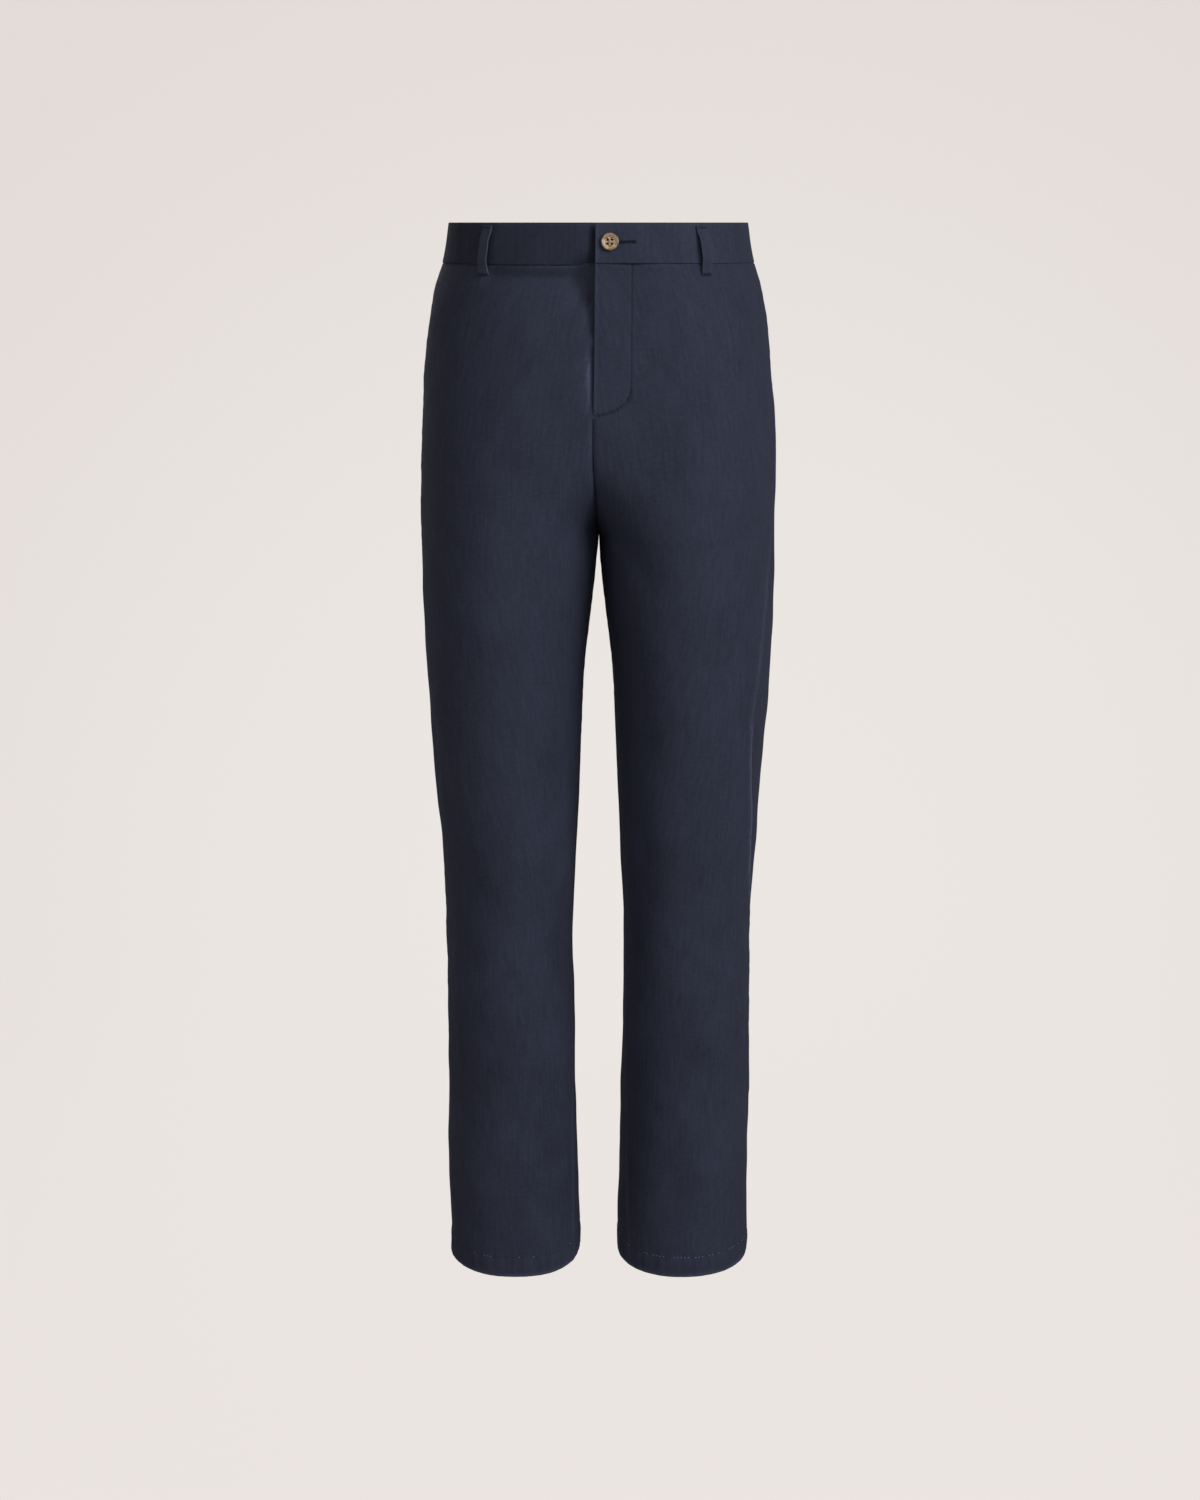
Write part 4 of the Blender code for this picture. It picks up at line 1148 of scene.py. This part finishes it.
# ---- Button ----
# A turned four-hole button of mottled brown horn resin, 17 mm across, with a raised rim and a
# dished middle, sewn to the underlap with crossed thread.
BUTTON_X, BUTTON_DROP, BUTTON_RADIUS = 0.0107, 0.0176, 0.0085
BUTTON_LIFT = 0.0003
BUTTON_PROFILE = (        # radius and height above its back
    (0.0000, 0.0000), (0.0060, 0.0000), (0.0070, 0.0002), (0.0079, 0.0008), (0.0084, 0.0014),
    (0.0085, 0.0019), (0.0084, 0.0024), (0.0080, 0.0028), (0.0074, 0.0030), (0.0068, 0.0029),
    (0.0062, 0.0026), (0.0056, 0.0021), (0.0048, 0.0018), (0.0036, 0.0017), (0.0000, 0.0017),
)
HOLE_RADIUS, HOLE_SPACING, DRILL_LENGTH = 0.0012, 0.0038, 0.02
BUTTON_STEPS, HOLE_STEPS = 96, 24


def band_face(from_centre, drop):
    """A point on the face of the left half of the waistband."""
    share = np.array([drop / BAND_FOOT[LEFT]])
    along = np.array([from_centre])
    return Vector(band_points(LEFT, share, along, band_out(LEFT, along))[0])


def from_centre_at(x, drop):
    """Distance from the folded edge at which the left half of the waistband has a given x."""
    tries = np.linspace(0, 0.05, 101)
    across = [band_face(reach, drop).x for reach in tries]
    return float(np.interp(x, across, tries))


button_from = from_centre_at(BUTTON_X, BUTTON_DROP)
button_down = (band_face(button_from, BUTTON_DROP + BUTTON_RADIUS)
               - band_face(button_from, BUTTON_DROP - BUTTON_RADIUS))
button_out = Vector((0, button_down.z, -button_down.y)).normalized()
BUTTON_PLACE = (Matrix.Translation(band_face(button_from, BUTTON_DROP) + button_out * BUTTON_LIFT)
                @ button_out.to_track_quat("Z", "Y").to_matrix().to_4x4())


def horn_material():
    """Horn resin: pale tan clouded and streaked with browns, polished, with painted shade darkening
    its rim.
    """
    material, tree, shader = new_material("Horn resin")
    place = node(tree, "ShaderNodeTexCoord")
    drawn = node(tree, "ShaderNodeMapping", Vector=place.outputs["Object"],
                 Location=(0.31, 0.0, 0.12), Rotation=(0.0, 0.5, 0.0), Scale=(1.0, 1.0, 2.2))
    cloud = node(tree, "ShaderNodeTexNoise", Vector=drawn.outputs[0], Scale=230.0, Detail=4.0,
                 Roughness=0.6, Distortion=1.4)
    ramp = node(tree, "ShaderNodeValToRGB", Fac=cloud.outputs["Fac"])
    browns = ramp.color_ramp.elements
    browns.new(0.46)
    for brown, place_on, colour in zip(browns, (0.39, 0.46, 0.60), (
            (0.050, 0.030, 0.020, 1), (0.34, 0.215, 0.125, 1), (0.60, 0.43, 0.28, 1))):
        brown.position, brown.color = place_on, colour
    # Painted shade: the colour darkens towards the rim, where the button's edge turns away from the
    # light.
    place_out = node(tree, "ShaderNodeAttribute", attribute_name="out")
    rim = node(tree, "ShaderNodeMapRange", Value=place_out.outputs["Fac"], From_Min=0.78,
               From_Max=0.95, To_Max=0.90)
    shaded = mixed(tree, rim.outputs["Result"], ramp.outputs["Color"], (0.040, 0.024, 0.016))
    set_inputs(shader, Base_Color=shaded, Roughness=0.28, Coat_Weight=0.3, Coat_Roughness=0.12)
    return material


def turned_button():
    """The button's body, spun from its profile and drilled."""
    body = bmesh.new()
    verts = [body.verts.new((radius, 0, height)) for radius, height in BUTTON_PROFILE]
    edges = [body.edges.new(pair) for pair in zip(verts, verts[1:])]
    bmesh.ops.spin(body, geom=verts + edges, axis=(0, 0, 1), cent=(0, 0, 0), angle=2 * math.pi,
                   steps=BUTTON_STEPS, use_merge=True)
    bmesh.ops.remove_doubles(body, verts=body.verts, dist=0.00001)
    bmesh.ops.recalc_face_normals(body, faces=body.faces)
    drill = bmesh.new()
    for x in (-HOLE_SPACING / 2, HOLE_SPACING / 2):
        for y in (-HOLE_SPACING / 2, HOLE_SPACING / 2):
            bmesh.ops.create_cone(drill, cap_ends=True, segments=HOLE_STEPS,
                                  radius1=HOLE_RADIUS, radius2=HOLE_RADIUS, depth=DRILL_LENGTH,
                                  matrix=Matrix.Translation((x, y, 0)))
    whole = add_object("whole", to_mesh(body, "button_body"))
    drills = add_object("drills", to_mesh(drill, "drills"))
    cut = whole.modifiers.new("holes", "BOOLEAN")
    cut.operation, cut.solver, cut.object = "DIFFERENCE", "EXACT", drills
    seen = whole.evaluated_get(bpy.context.evaluated_depsgraph_get())
    mesh = bpy.data.meshes.new_from_object(seen)
    for item in (whole, drills):
        bpy.data.objects.remove(item, do_unlink=True)
    reach = mesh.attributes.new("out", "FLOAT", "POINT")
    for index, vert in enumerate(mesh.vertices):
        reach.data[index].value = vert.co.xy.length / BUTTON_RADIUS
    mesh.transform(BUTTON_PLACE)
    mesh.shade_smooth()
    mesh.set_sharp_from_angle(angle=math.radians(40))
    return mesh


button = add_piece("horn_button", turned_button(), horn_material())
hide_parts("button")

# Crossed button thread, from each hole over to the one across.
STRAND = 0.00032          # thickness of a strand
STRAND_TOP = 0.0024       # height of the thread over the button's back
STRAND_END = 0.0005       # and at its ends, down in the holes
STRAND_IN = 0.8           # how far into a hole it goes, as a share of the hole's radius
STRAND_OVER = 0.8         # how far one crossing lies over the other, as a share of a strand
STRAND_SIDES, STRAND_STEPS = 8, 14


def crossed_thread():
    """Strands of thread in a cross, each an arc from a hole over to the opposite one."""
    half_chord = HOLE_SPACING / math.sqrt(2) - HOLE_RADIUS * STRAND_IN
    rise = STRAND_TOP - STRAND_END
    radius = (half_chord ** 2 + rise ** 2) / (2 * rise)
    below = STRAND_TOP - radius
    swing = 2 * math.asin(half_chord / radius)
    strands = bmesh.new()
    for level, turn in enumerate((math.pi / 4, 3 * math.pi / 4)):
        for aside in (-STRAND, 0.0, STRAND):
            ring = bmesh.ops.create_circle(strands, segments=STRAND_SIDES, radius=STRAND / 2,
                                           cap_ends=True)
            verts = ring["verts"]
            bmesh.ops.rotate(strands, verts=verts, matrix=Matrix.Rotation(math.pi / 2, 3, "Y"))
            bmesh.ops.translate(strands, verts=verts, vec=(0, aside, radius))
            bmesh.ops.rotate(strands, verts=verts, matrix=Matrix.Rotation(-swing / 2, 3, "Y"))
            faces = list({face for vert in verts for face in vert.link_faces})
            edges = list({edge for vert in verts for edge in vert.link_edges})
            bmesh.ops.spin(strands, geom=verts + edges + faces, axis=(0, 1, 0), cent=(0, 0, 0),
                           angle=swing, steps=STRAND_STEPS)
            new = [vert for vert in strands.verts if not vert.tag]
            bmesh.ops.rotate(strands, verts=new, matrix=Matrix.Rotation(turn, 3, "Z"))
            lift = below + level * STRAND * STRAND_OVER
            bmesh.ops.translate(strands, verts=new, vec=(0, 0, lift))
            for vert in new:
                vert.tag = True
    bmesh.ops.recalc_face_normals(strands, faces=strands.faces)
    mesh = to_mesh(strands, "button_thread")
    mesh.transform(BUTTON_PLACE)
    mesh.shade_smooth()
    return mesh


add_piece("button_thread", crossed_thread(), thread_material("Pale thread", (0.48, 0.38, 0.29)))

# ---- Buttonhole ----
# A keyhole buttonhole through the left half of the waistband, whipped all round with navy thread;
# the button lies over its front end.
HOLE_FROM, HOLE_TO = 0.0120, 0.0355     # from the folded edge
HOLE_DROP, HOLE_RISE = 0.0178, 0.0004
KEY_RADIUS, KEY_TURN, KEY_STITCHES = 0.0012, 0.75 * math.pi, 13
# The whipping, and the near-black beads of painted shadow that show as the dark slit.
WHIP_OFF, WHIP_LIFT, WHIP_LEAN = 0.0007, 0.0001, math.radians(88)
WHIP_PITCH, WHIP_STITCH = 0.00052, (0.0016, 0.00055, 0.0007)
SLIT_PITCH, SLIT_BEAD, SLIT_LIFT = 0.0006, (0.0012, 0.00075, 0.0004), 0.0002


def slit_drop(reach):
    """Drop of the slit, which rises a little towards its eyelet."""
    return HOLE_DROP - HOLE_RISE * ease((reach - HOLE_FROM) / (HOLE_TO - HOLE_FROM)) ** 2


def keyhole():
    """The path of the whipping: along the foot of the slit, round the eyelet and back."""
    straight = np.arange(HOLE_FROM, HOLE_TO - 2 * KEY_RADIUS, WHIP_PITCH)
    turn = np.linspace(-KEY_TURN, KEY_TURN, KEY_STITCHES)
    drop = slit_drop(straight)
    reach = np.concatenate((straight, HOLE_TO - KEY_RADIUS + KEY_RADIUS * np.cos(turn),
                            straight[::-1]))
    return reach, np.concatenate((drop + WHIP_OFF,
                                  HOLE_DROP - HOLE_RISE - KEY_RADIUS * np.sin(turn),
                                  drop[::-1] - WHIP_OFF))


def sewn_to_band(name, reaches, drops, lift, size, material, lean=0.0):
    """Stitches on the face of the waistband at the buttonhole."""
    points = [band_face(reach, drop) + button_out * lift for reach, drop in zip(reaches, drops)]
    stitches(name, points, [button_out] * len(points), size, material, lean)


sewn_to_band("buttonhole_whipping", *keyhole(), WHIP_LIFT, WHIP_STITCH, NAVY_THREAD, WHIP_LEAN)


def shadow_material():
    """Painted shadow for the slit: the cut edges inside it, which no light reaches, as near-black
    beads on the band's face.
    """
    material, tree, shader = new_material("Slit shadow")
    shades = mixed(tree, fibres(tree, 1800.0), (0.001, 0.001, 0.0015), (0.004, 0.004, 0.007))
    set_inputs(shader, Base_Color=shades, Roughness=0.95, Specular_IOR_Level=0.05)
    return material


slit_reach = np.arange(HOLE_FROM, HOLE_TO - KEY_RADIUS, SLIT_PITCH)
sewn_to_band("buttonhole_slit_shadow", slit_reach, slit_drop(slit_reach), SLIT_LIFT, SLIT_BEAD,
             shadow_material())

# ---- Studio ----
# A plain pale floor below the hems that fades into a pale, slightly warm surround, a large soft
# key light from the wearer's left, weak fills in front and to the right and another behind, with
# the camera level with the waist.
FLOOR_Z = -1.50
FLOOR_NEAR, FLOOR_FAR, FLOOR_PAST = 1.2, 3.4, 0.2     # where it fades from and to, and beyond
PALE = (0.851, 0.801, 0.770)
FLOOR_LIGHT = 0.24        # how much of the floor's brightness reaches the trousers
FLOOR_GLOW = 0.94         # and how much of it is its own


def dimmed(tree, share):
    """A brightness of 1 as seen, and of a share of that as light on the trousers."""
    rays = node(tree, "ShaderNodeLightPath")
    return node(tree, "ShaderNodeMapRange", Value=rays.outputs["Is Camera Ray"], To_Min=share,
                To_Max=1.0).outputs["Result"]


def floor_material():
    """A pale floor that fades out into the surround, and lights the trousers more weakly than it
    shows."""
    material, tree, shader = new_material("Pale floor")
    tree.nodes.remove(shader)
    place = node(tree, "ShaderNodeTexCoord")
    reach = node(tree, "ShaderNodeVectorMath", operation="LENGTH", in_0=place.outputs["Object"])
    fade = node(tree, "ShaderNodeMapRange", interpolation_type="SMOOTHSTEP",
                Value=reach.outputs["Value"], From_Min=FLOOR_NEAR, From_Max=FLOOR_FAR)
    matt = node(tree, "ShaderNodeBsdfDiffuse", Color=(*PALE, 1))
    glow = node(tree, "ShaderNodeEmission", Color=(*PALE, 1), Strength=dimmed(tree, FLOOR_LIGHT))
    clear = node(tree, "ShaderNodeBsdfTransparent")
    lit = node(tree, "ShaderNodeMixShader", in_0=FLOOR_GLOW, in_1=matt.outputs[0],
               in_2=glow.outputs[0])
    seen = node(tree, "ShaderNodeMixShader", in_0=fade.outputs["Result"], in_1=lit.outputs[0],
                in_2=clear.outputs[0])
    set_inputs(tree.nodes["Material Output"], Surface=seen.outputs[0])
    return material


floor_disc = bmesh.new()
bmesh.ops.create_circle(floor_disc, cap_ends=True, segments=64, radius=FLOOR_FAR + FLOOR_PAST,
                        matrix=Matrix.Translation((0, 0, FLOOR_Z)))
floor = add_object("floor", to_mesh(floor_disc, "floor"))
floor.data.materials.append(floor_material())

SURROUND_LIGHT = 0.33     # how much of the surround's brightness reaches the trousers
SURROUND_TILT = math.radians(15)            # how far below level it is brightest


def surround():
    """A pale surround, a little darker and warmer away from straight ahead, that lights the
    trousers more weakly than it shows."""
    world = bpy.data.worlds.new("Surround")
    bpy.context.scene.world = world
    world.use_nodes = True
    tree = world.node_tree
    ahead = node(tree, "ShaderNodeTexCoord")
    middle = Vector((0.03, math.cos(SURROUND_TILT), -math.sin(SURROUND_TILT)))
    facing = node(tree, "ShaderNodeVectorMath", operation="DOT_PRODUCT",
                  in_0=ahead.outputs["Generated"], in_1=middle)
    ramp = node(tree, "ShaderNodeMapRange", Value=facing.outputs["Value"], From_Min=0.93,
                From_Max=1.0)
    colours = mixed(tree, ramp.outputs["Result"], (0.765, 0.710, 0.680), (0.835, 0.795, 0.765))
    set_inputs(tree.nodes["Background"], Color=colours, Strength=dimmed(tree, SURROUND_LIGHT))


surround()


def soft_light(name, place, target, size, power, colour):
    """A square soft light, aimed at a place and itself unseen."""
    light = bpy.data.lights.new(name, "AREA")
    light.size, light.energy, light.color = size, power, colour
    lamp = add_object(name, light)
    lamp.visible_camera = False
    lamp.location = place
    lamp.rotation_euler = (Vector(target) - Vector(place)).to_track_quat("-Z", "Y").to_euler()


soft_light("key", (2.75, -2.5, 1.45), (0, 0, -0.45), 2.3, 107, (0.99, 0.995, 1.0))
soft_light("front", (0.9, -3.3, 0.3), (0, 0, -0.15), 1.6, 11, (1.0, 0.98, 0.97))
soft_light("fill", (-2.5, -2.9, 0.5), (0, 0, -0.45), 2.6, 16, (1.0, 0.975, 0.96))
soft_light("back", (-1.0, 3.5, 1.2), (0, 0, -0.45), 2.6, 38, (0.99, 0.99, 1.0))

EYE = Vector((0.0016, -2.6, 0.0))
EYE_TILT = math.radians(11.3)
LENS = 63.36
camera = add_object("camera", bpy.data.cameras.new("camera"))
camera.data.sensor_fit = "VERTICAL"
camera.data.sensor_height = 36
camera.data.lens = LENS
camera.location = EYE
camera.rotation_euler = (math.pi / 2 - EYE_TILT, 0, 0)
bpy.context.scene.camera = camera
bpy.context.scene.view_settings.view_transform = "Standard"
